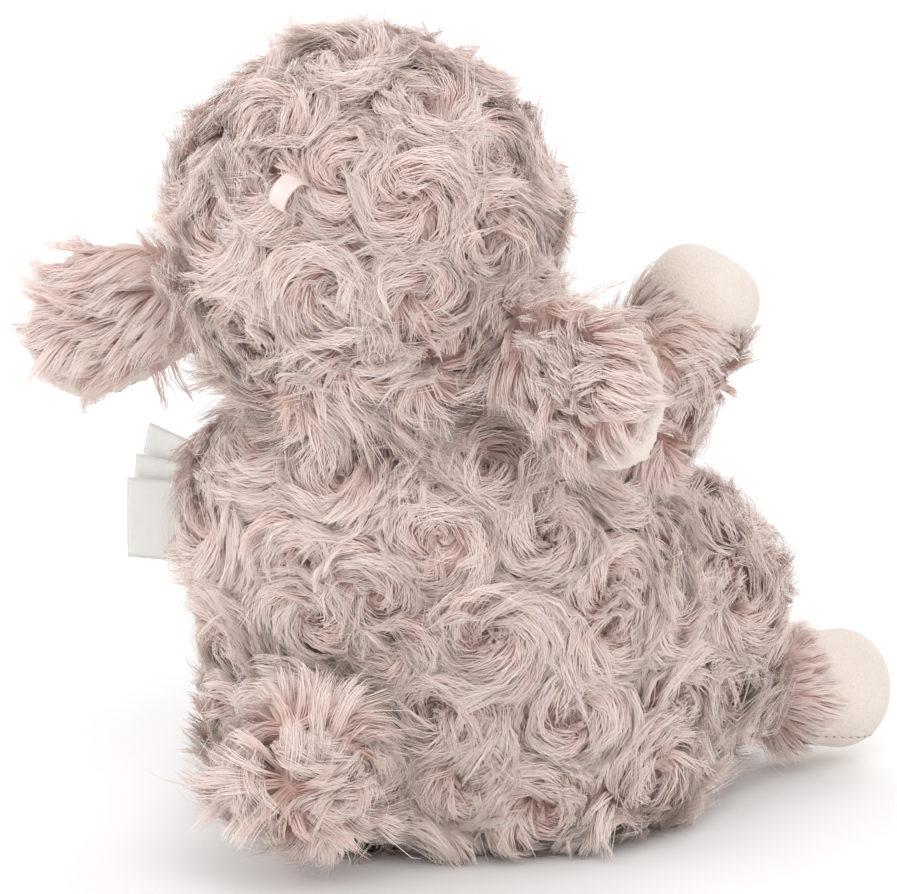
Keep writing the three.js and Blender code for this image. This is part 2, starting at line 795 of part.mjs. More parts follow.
function hoofArc(radius, start, end, steps) {
  const arc = [];
  const dome = Math.min(hoofDome * radius, end - start);
  for (let i = 0; i <= steps; i += 1) {
    const angle = (i / steps) * 90 * degrees;
    arc.push([radius * Math.cos(angle) ** hoofRounding, end - dome + dome * Math.sin(angle)]);
  }
  return arc;
}

function limbSleeve(root, wrist, length, around) {
  const outer = rootArc(root, -90, 0, rootRows);
  const inner = rootArc(root - furWall, -90, 0, rootRows / 2);
  const profile = [...outer, [wrist, length], [wrist - furWall, length], ...inner.reverse()];
  return turned(profile, around);
}

function limbHoof(radius, start, end, around) {
  const outer = hoofArc(radius, start, end, domeRows);
  const inner = hoofArc(radius - velourWall, start, end - velourWall, domeRows - 1);
  const profile = [...inner.reverse(), [radius - velourWall, start], [hoofMouth * radius, start], ...outer];
  return turned(profile, around);
}

function limbStuffing(root, wrist, sleeve, hoof, end, around) {
  const inset = furWall + fillEase;
  const neck = Math.min(wrist - inset, hoof - velourWall - fillEase);
  const tip = hoofArc(hoof - velourWall - fillEase, sleeve, end - velourWall - fillEase, domeRows - 2);
  const start = rootArc(root - inset, -90, 0, rootRows / 2);
  return turned([...start, [neck, sleeve - seamGap], [neck, sleeve + velourWall], ...tip], around);
}

function makeArm(side) {
  const name = sideNames.get(side);
  const arm = stand(new THREE.Group(), shoulders.get(side), limbWay(side, armOutward, armRaise));
  const start = armSleeve + seamGap;
  arm.add(piece(`arm_${name}_sleeve`, limbSleeve(armRoot, armWrist, armSleeve, medium), rosetteFur));
  arm.add(piece(`arm_${name}_hoof`, limbHoof(armHoof, start, armLength, medium), creamVelour));
  const stuffing = limbStuffing(armRoot, armWrist, armSleeve, armHoof, armLength, medium);
  arm.add(piece(`arm_${name}_stuffing`, stuffing, fibreFill));
  return arm;
}

function makeLeg(side) {
  const name = sideNames.get(side);
  const leg = stand(new THREE.Group(), hips.get(side), limbWay(side, legOutward, -legDip));
  const start = legSleeve + seamGap;
  leg.updateMatrix();
  const down = new THREE.Vector3(0, 0, -1).transformDirection(leg.matrix.clone().invert());
  down.projectOnPlane(upAxis).normalize();
  const below = (depth) => solid(new THREE.BoxGeometry(far, far, far).translate(0, far / 2 + depth, 0)
    .applyQuaternion(new THREE.Quaternion().setFromUnitVectors(upAxis, down)));
  const hoof = solid(limbHoof(legHoof, start, legLength, medium));
  leg.add(piece(`leg_${name}_sleeve`, limbSleeve(legRoot, ankle, legSleeve, medium), rosetteFur));
  const upper = hoof.subtract(below(soleDepth - seamGap / 2));
  const sole = hoof.intersect(below(soleDepth + seamGap / 2));
  leg.add(piece(`leg_${name}_hoof`, geometryOf(upper), creamVelour));
  leg.add(piece(`leg_${name}_sole`, geometryOf(sole), creamVelour));
  const stuffing = limbStuffing(legRoot, ankle, legSleeve, legHoof, legLength, medium);
  leg.add(piece(`leg_${name}_stuffing`, stuffing, fibreFill));
  return leg;
}

function makeTail() {
  const tail = stand(new THREE.Group(), tailHinge, new THREE.Vector3(0, 1, 0));
  const puffArc = (radius, from, rows) => {
    const arc = rootArc(radius, from, 90, rows);
    return arc.map(([r, y]) => [r, y + tailPuffAt]);
  };
  const mouth = -Math.sqrt(tailRoot ** 2 - tailOpening ** 2);
  const rootOuter = [[tailOpening, mouth], ...rootArc(tailRoot, tailRootFrom, tailRootTo, 2)];
  const rootInner = [
    [tailOpening, mouth + furWall], ...rootArc(tailRoot - furWall, tailRootTo, tailRootInside, 1)];
  const outer = [...rootOuter, ...puffArc(tailPuff, tailPuffFrom, tailRows)];
  const inner = [...rootInner, ...puffArc(tailPuff - furWall, tailPuffFrom, tailRows - 2)];
  tail.add(piece('tail_cover', turned([...inner.reverse(), ...outer], medium), rosetteFur));
  const fill = puffArc(tailPuff - furWall - fillEase, tailFillFrom, tailRows - 2);
  tail.add(piece('tail_stuffing', turned([[0, fill[0][1]], ...fill], coarse), fibreFill));
  return tail;
}

// Three leaves hang from the left side seam, fanned apart.
function makeLabels() {
  const labels = new THREE.Group();
  labels.position.copy(labelsAt);
  const leaves = [
    { name: 'care_label_front', turn: labelFan, lift: -labelFrontDrop, tilt: 0 },
    { name: 'care_label_middle', turn: 0, lift: 0, tilt: labelMiddleTilt },
    { name: 'care_label_rear', turn: -labelFan, lift: labelRearRise, tilt: labelRearTilt },
  ];
  leaves.forEach((leaf, order) => {
    const sheet = new THREE.BoxGeometry(labelLength, labelThickness, labelHeight);
    sheet.translate(labelLength / 2, 0, 0);
    const mesh = piece(leaf.name, sheet, wovenLabel);
    mesh.position.set(0, (1 - order) * labelPitch, leaf.lift);
    mesh.rotation.set(0, -leaf.tilt * degrees, leaf.turn * degrees, 'ZYX');
    labels.add(mesh);
  });
  return labels;
}

const goat = new THREE.Group();
goat.name = 'plush_goat';
goat.add(makeTorso(), makeHead(), makeTail(), makeLabels());
for (const side of [-1, 1]) goat.add(makeArm(side), makeLeg(side));

export default goat;
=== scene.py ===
"""Dresses the seated plush goat: rosette-combed pile, cream velour, ribbon, labels and face."""
import json
import logging
import math
from collections.abc import Sequence
from dataclasses import dataclass, field, fields
from enum import Enum, IntEnum
from itertools import product
from typing import Any

import bmesh
import bpy
import numpy as np
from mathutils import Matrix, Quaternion, Vector
from mathutils.bvhtree import BVHTree

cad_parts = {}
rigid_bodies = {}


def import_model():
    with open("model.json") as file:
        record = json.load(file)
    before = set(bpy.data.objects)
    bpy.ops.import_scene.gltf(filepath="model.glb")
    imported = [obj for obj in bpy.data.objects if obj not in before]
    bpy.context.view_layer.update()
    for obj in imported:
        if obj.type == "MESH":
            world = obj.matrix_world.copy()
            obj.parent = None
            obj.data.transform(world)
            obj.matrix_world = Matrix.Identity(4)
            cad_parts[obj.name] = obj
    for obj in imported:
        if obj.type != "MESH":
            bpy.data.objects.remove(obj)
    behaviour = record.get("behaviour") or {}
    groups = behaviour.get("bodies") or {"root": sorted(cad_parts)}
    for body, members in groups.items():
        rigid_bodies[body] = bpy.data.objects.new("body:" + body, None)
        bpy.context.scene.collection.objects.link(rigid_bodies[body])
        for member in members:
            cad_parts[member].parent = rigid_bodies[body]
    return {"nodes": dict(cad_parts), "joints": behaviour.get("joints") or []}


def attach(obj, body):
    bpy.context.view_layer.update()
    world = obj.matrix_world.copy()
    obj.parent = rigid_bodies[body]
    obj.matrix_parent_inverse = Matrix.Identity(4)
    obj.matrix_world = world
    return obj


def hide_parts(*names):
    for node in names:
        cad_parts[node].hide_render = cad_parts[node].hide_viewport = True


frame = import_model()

LOG = logging.getLogger("plush_goat")
MM = 0.001
PHOTO_WIDTH = 897
PHOTO_HEIGHT = 894
NECK_SEAT = 53.0
SEAT_GAP = 0.8
LOFTS = (0.8, 1.25)
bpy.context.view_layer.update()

Array = np.ndarray
Socket = bpy.types.NodeSocket
Object = bpy.types.Object
Material = bpy.types.Material
Colour = tuple[float, float, float, float]
Tone = tuple[int, int, int]
Place = tuple[float, float, float]
Seats = Sequence[tuple[Sequence[float], float]]


class Side(Enum):
    """The goat's own sides, as the sign of X."""

    LEFT = 1
    RIGHT = -1

    @property
    def word(self) -> str:
        """The side's name in lower case."""
        return self.name.lower()


class LimbKind(Enum):
    """The two kinds of limb, each with the last word of its joint."""

    ARM = "swing"
    LEG = "lift"

    @property
    def word(self) -> str:
        """The kind's name in lower case."""
        return self.name.lower()


class Slot(Enum):
    """The record's material slots."""

    PILE = "rosette_fur"
    VELOUR = "cream_velour"
    FILL = "fibre_fill"
    PELLETS = "pellet_cloth"
    RIBBON = "satin_ribbon"
    LABEL = "woven_label"
    EYE = "eye_plastic"
    WASHER = "washer_plastic"
    NOSE = "nose_thread"
    SEAM = "seam_thread"


class Seed(IntEnum):
    """What fixes each random choice."""

    BODY_TURNS = 11
    BODY_LOFT = 12
    HEAD_TURNS = 23
    HEAD_LOFT = 24
    ARM_TURNS = 41
    TAIL_LOFT = 51
    EAR_LOFT = 61
    BODY_PILE = 100
    HEAD_PILE = 300
    TAIL_PILE = 500
    LIMB_PILE = 700
    EAR_PILE = 900


def unit(vectors: Array) -> Array:
    """Scales rows of three numbers to length one."""
    return vectors / np.maximum(np.linalg.norm(vectors, axis=-1, keepdims=True), 1e-9)


def toward(outward: float, raised: float) -> Array:
    """The way that lies to the goat's left of straight ahead and above the level.

    Args:
        outward: Degrees to the left.
        raised: Degrees up.

    Returns:
        The way, of length one.
    """
    turn = math.radians(outward)
    lift = math.radians(raised)
    return np.array([math.sin(turn) * math.cos(lift), -math.cos(turn) * math.cos(lift), math.sin(lift)])


def joint_of(name: str) -> dict[str, Any]:
    """A joint of the frame, by name."""
    return next(joint for joint in frame["joints"] if joint["name"] == name)


def joint_place(name: str) -> Array:
    """Where a joint of the frame turns, in millimetres."""
    return np.array(joint_of(name)["pos_m"]) / MM


def linear(red: int, green: int, blue: int) -> Colour:
    """Turns a display colour into the linear colour that a shader takes.

    Args:
        red: Red from 0 to 255.
        green: Green from 0 to 255.
        blue: Blue from 0 to 255.

    Returns:
        The linear colour with an alpha of one.
    """
    shares = [channel / 255 for channel in (red, green, blue)]
    bright = [s / 12.92 if s <= 0.04045 else ((s + 0.055) / 1.055) ** 2.4 for s in shares]
    return (bright[0], bright[1], bright[2], 1.0)


def linked(name: str, data: Any) -> Object:
    """Makes an object of its data and puts it in the scene.

    Args:
        name: The object's name.
        data: A mesh, a lamp or a camera.

    Returns:
        The object.
    """
    made = bpy.data.objects.new(name, data)
    bpy.context.scene.collection.objects.link(made)
    return made


def store(data: bpy.types.Mesh, values: dict[str, Array]) -> None:
    """Stores a number for each point of a mesh, under each name."""
    for label, numbers in values.items():
        data.attributes.new(label, "FLOAT", "POINT").data.foreach_set("value", numbers.astype(np.float32))


def worked(obj: Object, tree: bpy.types.NodeTree, values: dict[str, Any], name: str) -> Object:
    """Runs a Geometry Nodes tree on an object.

    Args:
        obj: The object, which is removed.
        tree: The tree.
        values: The tree's inputs by name.
        name: The new object's name.

    Returns:
        The new plain object.
    """
    modifier = obj.modifiers.new(tree.name, "NODES")
    modifier.node_group = tree
    for item in tree.interface.items_tree:
        if item.in_out == "INPUT" and item.name in values:
            modifier[item.identifier] = values[item.name]
    return plain(obj, name)


class Bench:
    """Lays nodes in a tree and wires them up."""

    def __init__(self, tree: bpy.types.NodeTree) -> None:
        """Starts on a tree."""
        self.tree = tree

    def takes(self, kind: str, *names: str) -> None:
        """Gives a Geometry Nodes tree inputs of one kind."""
        for name in names:
            self.tree.interface.new_socket(name, in_out="INPUT", socket_type=f"NodeSocket{kind}")

    def gives(self, name: str) -> None:
        """Gives a Geometry Nodes tree its output."""
        self.tree.interface.new_socket(name, in_out="OUTPUT", socket_type="NodeSocketGeometry")

    def node(self, kind: str, **settings: Any) -> bpy.types.Node:
        """Adds a node.

        Args:
            kind: The node's type.
            **settings: Properties to set on it.

        Returns:
            The node.
        """
        made = self.tree.nodes.new(kind)
        for name, value in settings.items():
            setattr(made, name, value)
        return made

    def feed(self, socket: Socket, value: Any) -> None:
        """Links a socket to another, or sets its value.

        Args:
            socket: The input.
            value: An output to link, or a plain value.
        """
        if isinstance(value, bpy.types.NodeSocket):
            self.tree.links.new(value, socket)
        elif value is not None:
            socket.default_value = value

    def put(self, made: bpy.types.Node, out: str | int = 0, **inputs: Any) -> Socket:
        """Feeds a node's live inputs by name and returns one output.

        Args:
            made: The node.
            out: The output's name or number among those in use.
            **inputs: Values by input name, with _ for a space.

        Returns:
            The output socket.
        """
        live = {}
        for socket in made.inputs:
            if socket.enabled:
                live.setdefault(socket.name.replace(" ", "_"), socket)
        for name, value in inputs.items():
            self.feed(live[name], value)
        outputs = [socket for socket in made.outputs if socket.enabled]
        if isinstance(out, int):
            return outputs[out]
        return next(socket for socket in outputs if socket.name == out)

    def step(self, kind: str, **inputs: Any) -> Socket:
        """The first thing that a step of Geometry Nodes gives."""
        return self.put(self.node(f"GeometryNode{kind}"), **inputs)

    def _result(self, kind: str, operation: str, values: Sequence[Any]) -> Socket:
        """Adds a node that works something out.

        Args:
            kind: The node's type.
            operation: What it does.
            values: Its live inputs, in order.

        Returns:
            Its result.
        """
        made = self.node(kind, operation=operation)
        live = [socket for socket in made.inputs if socket.enabled]
        for socket, value in zip(live, values):
            self.feed(socket, value)
        return next(socket for socket in made.outputs if socket.enabled)

    def math(self, operation: str, *values: Any) -> Socket:
        """The result of a Math node."""
        return self._result("ShaderNodeMath", operation, values)

    def times(self, first: Any, second: Any) -> Socket:
        """The product of two numbers."""
        return self.math("MULTIPLY", first, second)

    def vector(self, operation: str, *values: Any) -> Socket:
        """The result of a Vector Math node."""
        return self._result("ShaderNodeVectorMath", operation, values)

    def scaled(self, vector: Any, amount: Any) -> Socket:
        """A vector times a number."""
        return self.vector("SCALE", vector, amount)

    def total(self, *vectors: Any) -> Socket:
        """Adds vectors up.

        Args:
            *vectors: The vectors.

        Returns:
            The sum.
        """
        result = vectors[0]
        for vector in vectors[1:]:
            result = self.vector("ADD", result, vector)
        return result


class PileTree:
    """The node tree that grows combed pile on a skin.

    Each strand is a narrow tapered ribbon. It leaves the skin, bends over along the swirl of the nearest
    whorl, follows the skin at a height and draws towards the middle of its lock.
    """

    NAME = "combed_pile"
    NUMBERS = (
        "Strands", "Locks", "Tufts", "Length", "Width", "Lift", "Draw", "Bunch", "Sway", "Free", "Stray",
        "Wander", "Shade")
    FLOOR = 0.0003
    ACROSS = 2
    ALONG = 4
    WANDER_SCALE = 90.0
    WHORL_EYE = 0.0045
    EYE_SCATTER = 0.8
    LOCK_SCATTER = 0.14
    STRAND_SCATTER = 0.09
    TIGHTEST = 0.005
    FRIZZ = 0.0025
    FRIZZ_SCALE = 220.0
    TAPER = 0.82
    BEND = 1.8
    NOD = 0.08
    DECAY = 2.718
    LOOSE = 0.5
    LEAST_STAND = 0.62
    MORE_STAND = 0.8
    RISE = (0.75, 1.1)
    LOCK_RISE = (0.75, 1.25)
    RUN = (0.8, 1.06)
    LOCK_RUN = (0.82, 1.12)
    TUFT_RUN = (0.85, 1.15)
    TINT = (0.0, 0.3)
    LOCK_TINT = (0.0, 0.4)
    TUFT_TINT = (0.0, 0.3)
    DRAWN = (0.65, 1.0)
    ROLL = (-0.15, 0.15)
    TINT_EDGE = 0.01
    CHART_EDGE = 0.02
    CHART_SPAN = 0.96
    STORED_VECTORS = ("root", "up", "away", "gather")
    STORED_NUMBERS = ("reach", "spin", "fan", "rise", "run", "roll", "across", "along", "tint")

    def __init__(self) -> None:
        """Builds the tree."""
        tree = bpy.data.node_groups.new(self.NAME, "GeometryNodeTree")
        self.tree = tree
        self.bench = Bench(tree)
        self.bench.takes("Geometry", "Skin")
        self.bench.takes("Object", "Whorls")
        self.bench.takes("Float", *self.NUMBERS)
        self.bench.takes("Int", "Seed")
        self.bench.takes("Material", "Finish")
        self.bench.gives("Pile")
        self.given = self.bench.node("NodeGroupInput").outputs
        roots = self._roots()
        ribbons = self._ribbons(roots)
        self._finish(ribbons)

    def _chance(self, low: float, high: float, salt: int, owner: Socket | None = None) -> Socket:
        """A random number, fixed by the tree's seed.

        Args:
            low: The smallest value.
            high: The largest value.
            salt: Keeps this number apart from the others.
            owner: What shares one number, such as a lock, or None for each strand.

        Returns:
            The number's socket.
        """
        bench = self.bench
        made = bench.node("FunctionNodeRandomValue", data_type="FLOAT")
        seed = bench.math("ADD", self.given["Seed"], float(salt))
        inputs = {"Min": low, "Max": high, "Seed": seed}
        if owner is not None:
            inputs["ID"] = owner
        return bench.put(made, "Value", **inputs)

    def _read(self, name: str, kind: str) -> Socket:
        """An attribute of the geometry, by name."""
        made = self.bench.node("GeometryNodeInputNamedAttribute", data_type=kind)
        return self.bench.put(made, "Attribute", Name=name)

    def _keep(self, geometry: Socket, name: str, kind: str, value: Any, domain: str = "POINT") -> Socket:
        """Stores an attribute and returns the geometry."""
        made = self.bench.node("GeometryNodeStoreNamedAttribute", data_type=kind, domain=domain)
        return self.bench.put(made, "Geometry", Geometry=geometry, Name=name, Value=value)

    def _scatter(self, density: Socket, salt: int) -> tuple[Socket, Socket]:
        """Scatters points over the skin where it bears pile.

        Args:
            density: Points to a square metre.
            salt: Keeps these points apart from others.

        Returns:
            The points and the skin's normal at each.
        """
        bench = self.bench
        made = bench.node("GeometryNodeDistributePointsOnFaces", distribute_method="RANDOM")
        thick = bench.times(density, self._read("pile", "FLOAT"))
        seed = bench.math("ADD", self.given["Seed"], float(salt))
        points = bench.put(made, "Points", Mesh=self.given["Skin"], Density=thick, Seed=seed)
        return points, made.outputs["Normal"]

    def _pick(self, geometry: Socket, index: Socket, kind: str, value: Socket) -> Socket:
        """A value taken from one point of a geometry."""
        made = self.bench.node("GeometryNodeSampleIndex", data_type=kind, domain="POINT")
        return self.bench.put(made, "Value", Geometry=geometry, Index=index, Value=value)

    def _nearest(self, geometry: Socket, place: Socket) -> Socket:
        """The number of the geometry's point that is nearest to a place."""
        made = self.bench.node("GeometryNodeSampleNearest", domain="POINT")
        return self.bench.put(made, "Index", Geometry=geometry, Sample_Position=place)

    def _noise(self, place: Socket, scale: float, amount: Any) -> Socket:
        """A smooth wandering vector.

        Args:
            place: Where it is read.
            scale: Its turns to a metre.
            amount: How long it is.

        Returns:
            The vector.
        """
        bench = self.bench
        made = bench.node("ShaderNodeTexNoise", noise_dimensions="3D")
        bench.feed(made.inputs["Vector"], place)
        bench.feed(made.inputs["Scale"], scale)
        bench.feed(made.inputs["Detail"], 1.0)
        return bench.scaled(bench.vector("SUBTRACT", made.outputs["Color"], (0.5, 0.5, 0.5)), amount)

    def _roots(self) -> Socket:
        """Scatters the strands' roots and notes each strand's whorl and lock.

        Returns:
            The points, with what a strand needs stored on them.
        """
        bench = self.bench
        points, _ = self._scatter(self.given["Strands"], 0)
        locks, facing = self._scatter(self.given["Locks"], 1)
        locks = self._keep(locks, "facing", "FLOAT_VECTOR", facing)
        tufts, _ = self._scatter(self.given["Tufts"], 12)
        whorls = bench.put(bench.node("GeometryNodeObjectInfo"), "Geometry", Object=self.given["Whorls"])
        place = bench.node("GeometryNodeInputPosition").outputs[0]
        lock = self._nearest(locks, place)
        middle = self._pick(locks, lock, "FLOAT_VECTOR", place)
        normal = self._pick(locks, lock, "FLOAT_VECTOR", self._read("facing", "FLOAT_VECTOR"))
        tuft = self._nearest(tufts, middle)
        bunch = self._pick(tufts, tuft, "FLOAT_VECTOR", place)
        wander = self._noise(bunch, self.WANDER_SCALE, self.given["Wander"])
        near = self._nearest(whorls, bench.vector("ADD", bunch, wander))
        centre = self._pick(whorls, near, "FLOAT_VECTOR", place)
        gap = bench.vector("SUBTRACT", middle, centre)
        level = bench.vector("SUBTRACT", gap, bench.scaled(normal, bench.vector("DOT_PRODUCT", gap, normal)))
        reach = bench.vector("LENGTH", level)
        deep = bench.math("POWER", bench.math("DIVIDE", reach, self.WHORL_EYE), 2.0)
        deep = bench.math("POWER", self.DECAY, bench.times(-1.0, deep))
        sway = bench.times(self._chance(-1.0, 1.0, 10, tuft), self.given["Sway"])
        scatter = bench.math("MULTIPLY_ADD", deep, self.EYE_SCATTER, self.LOCK_SCATTER)
        scatter = bench.times(self._chance(-1.0, 1.0, 13, lock), scatter)
        sway = bench.math("ADD", sway, scatter)
        sway = bench.math("ADD", sway, self._chance(-self.STRAND_SCATTER, self.STRAND_SCATTER, 11))
        straight = bench.vector("NORMALIZE", level)
        aside = bench.vector("CROSS_PRODUCT", normal, straight)
        away = bench.vector(
            "ADD", bench.scaled(straight, bench.math("COSINE", sway)),
            bench.scaled(aside, bench.math("SINE", sway)))
        loft = self._read("loft", "FLOAT")
        stray = bench.math("LESS_THAN", self._chance(0.0, 1.0, 2), self.given["Stray"])
        loose = bench.math("MULTIPLY_ADD", stray, self.LOOSE, 1.0)
        stand = bench.math("POWER", self._chance(0.0, 1.0, 4, tuft), 2.0)
        stand = bench.math("MULTIPLY_ADD", stand, self.MORE_STAND, self.LEAST_STAND)
        rise = bench.times(stand, self._chance(*self.LOCK_RISE, 14, lock))
        rise = bench.times(self._chance(*self.RISE, 3), rise)
        run = bench.times(
            self._chance(*self.TUFT_RUN, 15, tuft), self._chance(*self.LOCK_RUN, 6, lock))
        run = bench.times(self._chance(*self.RUN, 5), run)
        tint = bench.math(
            "ADD", self._chance(*self.LOCK_TINT, 8, lock), self._chance(*self.TUFT_TINT, 16, tuft))
        tint = bench.math("ADD", self._chance(*self.TINT, 7), tint)
        # Painted shade: strands near a whorl's eye, where the pile dips, get a darker tint.
        tint = bench.math("SUBTRACT", tint, bench.times(deep, self.given["Shade"]))
        tint = bench.math("MAXIMUM", tint, self.TINT_EDGE)
        high = bench.times(loft, self.given["Lift"])
        long = bench.times(bench.math("SQRT", loft), self.given["Length"])
        draw = bench.times(self.given["Draw"], self._chance(*self.DRAWN, 17))
        gather = bench.total(
            bench.scaled(bench.vector("SUBTRACT", middle, place), draw),
            bench.scaled(bench.vector("SUBTRACT", bunch, place), self.given["Bunch"]))
        stored = [
            ("root", "FLOAT_VECTOR", place),
            ("up", "FLOAT_VECTOR", normal),
            ("away", "FLOAT_VECTOR", away),
            ("reach", "FLOAT", reach),
            ("spin", "FLOAT", self._pick(whorls, near, "FLOAT", self._read("spin", "FLOAT"))),
            ("fan", "FLOAT", self._pick(whorls, near, "FLOAT", self._read("fan", "FLOAT"))),
            ("gather", "FLOAT_VECTOR", gather),
            ("rise", "FLOAT", bench.times(bench.times(rise, loose), high)),
            ("run", "FLOAT", bench.times(run, long)),
            ("tint", "FLOAT", bench.math("MINIMUM", tint, 1.0 - self.TINT_EDGE)),
            ("roll", "FLOAT", self._chance(*self.ROLL, 9)),
        ]
        for name, kind, value in stored:
            points = self._keep(points, name, kind, value)
        return points

    def _ribbons(self, points: Socket) -> Socket:
        """Sets a ribbon on each root and bends it along its swirl.

        Args:
            points: The roots.

        Returns:
            The ribbons as one mesh.
        """
        bench = self.bench
        ribbon = bench.step(
            "MeshGrid", Size_X=1.0, Size_Y=1.0, Vertices_X=self.ACROSS, Vertices_Y=self.ALONG)
        place = bench.node("GeometryNodeInputPosition").outputs[0]
        apart = bench.node("ShaderNodeSeparateXYZ")
        bench.feed(apart.inputs[0], place)
        ribbon = self._keep(ribbon, "across", "FLOAT", apart.outputs["X"])
        ribbon = self._keep(ribbon, "along", "FLOAT", bench.math("ADD", apart.outputs["Y"], 0.5))
        placed = bench.step("InstanceOnPoints", Points=points, Instance=ribbon)
        mesh = bench.step("RealizeInstances", Geometry=placed)
        vectors = [self._read(name, "FLOAT_VECTOR") for name in self.STORED_VECTORS]
        root, up, away, gather = vectors
        numbers = [self._read(name, "FLOAT") for name in self.STORED_NUMBERS]
        reach, spin, fan, rise, run, roll, across, along, _ = numbers
        gone = bench.times(run, along)
        turn = bench.times(spin, gone)
        turn = bench.math("DIVIDE", turn, bench.math("MAXIMUM", reach, self.TIGHTEST))
        radius = bench.math("MULTIPLY_ADD", fan, gone, reach)
        cosine = bench.math("COSINE", turn)
        sine = bench.math("SINE", turn)
        side = bench.vector("CROSS_PRODUCT", up, away)
        ahead = bench.math("SUBTRACT", bench.times(radius, cosine), reach)
        level = bench.total(
            root, bench.scaled(away, ahead), bench.scaled(side, bench.times(radius, sine)),
            bench.scaled(gather, along))
        frizz = self._noise(level, self.FRIZZ_SCALE, bench.times(along, self.FRIZZ))
        level = bench.vector("ADD", level, frizz)
        outward = bench.total(bench.scaled(away, cosine), bench.scaled(side, sine))
        onward = bench.vector("SUBTRACT", bench.scaled(side, cosine), bench.scaled(away, sine))
        heading = bench.total(bench.scaled(onward, spin), bench.scaled(outward, fan))
        normal_in = bench.node("GeometryNodeInputNormal").outputs[0]
        ground = self._on_skin(level, place)
        normal = bench.vector("NORMALIZE", self._on_skin(level, normal_in))
        freed = bench.scaled(bench.vector("SUBTRACT", level, ground), self.given["Free"])
        breadth = bench.vector("NORMALIZE", bench.vector("CROSS_PRODUCT", heading, normal))
        breadth = bench.vector(
            "ADD", bench.scaled(breadth, bench.math("COSINE", roll)),
            bench.scaled(normal, bench.math("SINE", roll)))
        taper = bench.times(bench.math("POWER", along, self.BEND), self.TAPER)
        taper = bench.math("SUBTRACT", 1.0, taper)
        wide = bench.times(bench.times(self.given["Width"], taper), across)
        bent = bench.math("POWER", bench.math("SUBTRACT", 1.0, along), self.BEND)
        bent = bench.math("SUBTRACT", 1.0, bent)
        nod = bench.times(bench.math("POWER", along, 3.0), self.NOD)
        bent = bench.math("SUBTRACT", bent, nod)
        high = bench.times(rise, bent)
        spot = bench.total(ground, freed, bench.scaled(normal, high), bench.scaled(breadth, wide))
        split = bench.node("ShaderNodeSeparateXYZ")
        bench.feed(split.inputs[0], spot)
        join = bench.node("ShaderNodeCombineXYZ")
        bench.feed(join.inputs["X"], split.outputs["X"])
        bench.feed(join.inputs["Y"], split.outputs["Y"])
        bench.feed(join.inputs["Z"], bench.math("MAXIMUM", split.outputs["Z"], self.FLOOR))
        return bench.step("SetPosition", Geometry=mesh, Position=join.outputs[0])

    def _on_skin(self, place: Socket, value: Socket) -> Socket:
        """A vector of the skin at its nearest point to a place."""
        made = self.bench.node("GeometryNodeSampleNearestSurface", data_type="FLOAT_VECTOR")
        return self.bench.put(made, "Value", Mesh=self.given["Skin"], Value=value, Sample_Position=place)

    def _finish(self, mesh: Socket) -> None:
        """Lays the strands' colour map and material on, and drops what was stored.

        Args:
            mesh: The ribbons.
        """
        bench = self.bench
        place = bench.node("ShaderNodeCombineXYZ")
        bench.feed(place.inputs["X"], self._read("tint", "FLOAT"))
        along = self._read("along", "FLOAT")
        along = bench.math("MULTIPLY_ADD", along, self.CHART_SPAN, self.CHART_EDGE)
        bench.feed(place.inputs["Y"], along)
        mesh = self._keep(mesh, "OFBake", "FLOAT2", place.outputs[0], "CORNER")
        for name in self.STORED_VECTORS + self.STORED_NUMBERS:
            mesh = bench.step("RemoveAttribute", Geometry=mesh, Name=name)
        mesh = bench.step("SetShadeSmooth", Geometry=mesh)
        mesh = bench.step("RealizeInstances", Geometry=mesh)
        mesh = bench.step("SetMaterial", Geometry=mesh, Material=self.given["Finish"])
        bench.feed(bench.node("NodeGroupOutput").inputs[0], mesh)


class StitchTree:
    """The node tree that sews a row of stitches along a line."""

    NAME = "stitch_row"

    def __init__(self) -> None:
        """Builds the tree."""
        tree = bpy.data.node_groups.new(self.NAME, "GeometryNodeTree")
        self.tree = tree
        bench = Bench(tree)
        bench.takes("Geometry", "Line")
        bench.takes("Float", "Spacing", "Length", "Thickness")
        bench.takes("Material", "Finish")
        bench.gives("Stitches")
        given = bench.node("NodeGroupInput").outputs
        curve = bench.step("MeshToCurve", Mesh=given["Line"])
        points = bench.node("GeometryNodeCurveToPoints", mode="LENGTH")
        spots = bench.put(points, "Points", Curve=curve, Length=given["Spacing"])
        turn = bench.node("FunctionNodeAlignRotationToVector", axis="Z")
        turned = bench.put(turn, "Rotation", Vector=points.outputs["Tangent"])
        bead = bench.step("MeshUVSphere", Segments=8, Rings=6, Radius=0.5)
        size = bench.node("ShaderNodeCombineXYZ")
        bench.feed(size.inputs["X"], given["Thickness"])
        bench.feed(size.inputs["Y"], given["Thickness"])
        bench.feed(size.inputs["Z"], given["Length"])
        placed = bench.step(
            "InstanceOnPoints", Points=spots, Instance=bead, Rotation=turned, Scale=size.outputs[0])
        mesh = bench.step("RealizeInstances", Geometry=placed)
        mesh = bench.step("SetMaterial", Geometry=mesh, Material=given["Finish"])
        bench.feed(bench.node("NodeGroupOutput").inputs[0], mesh)

    def sew(self, line: Array, name: str, finish: Material, spacing: float, length: float,
            thickness: float) -> Object:
        """Sews stitches along a line.

        Args:
            line: Points in millimetres, in order.
            name: The new piece's name.
            finish: The thread.
            spacing: From one stitch to the next, in millimetres.
            length: A stitch's length in millimetres.
            thickness: A stitch's thickness in millimetres.

        Returns:
            The stitches as one plain piece.
        """
        data = bpy.data.meshes.new("stitch_line")
        data.from_pydata((line * MM).tolist(), [(i, i + 1) for i in range(len(line) - 1)], [])
        values = {
            "Spacing": spacing * MM, "Length": length * MM, "Thickness": thickness * MM, "Finish": finish}
        return worked(linked("stitch_line", data), self.tree, values, name)


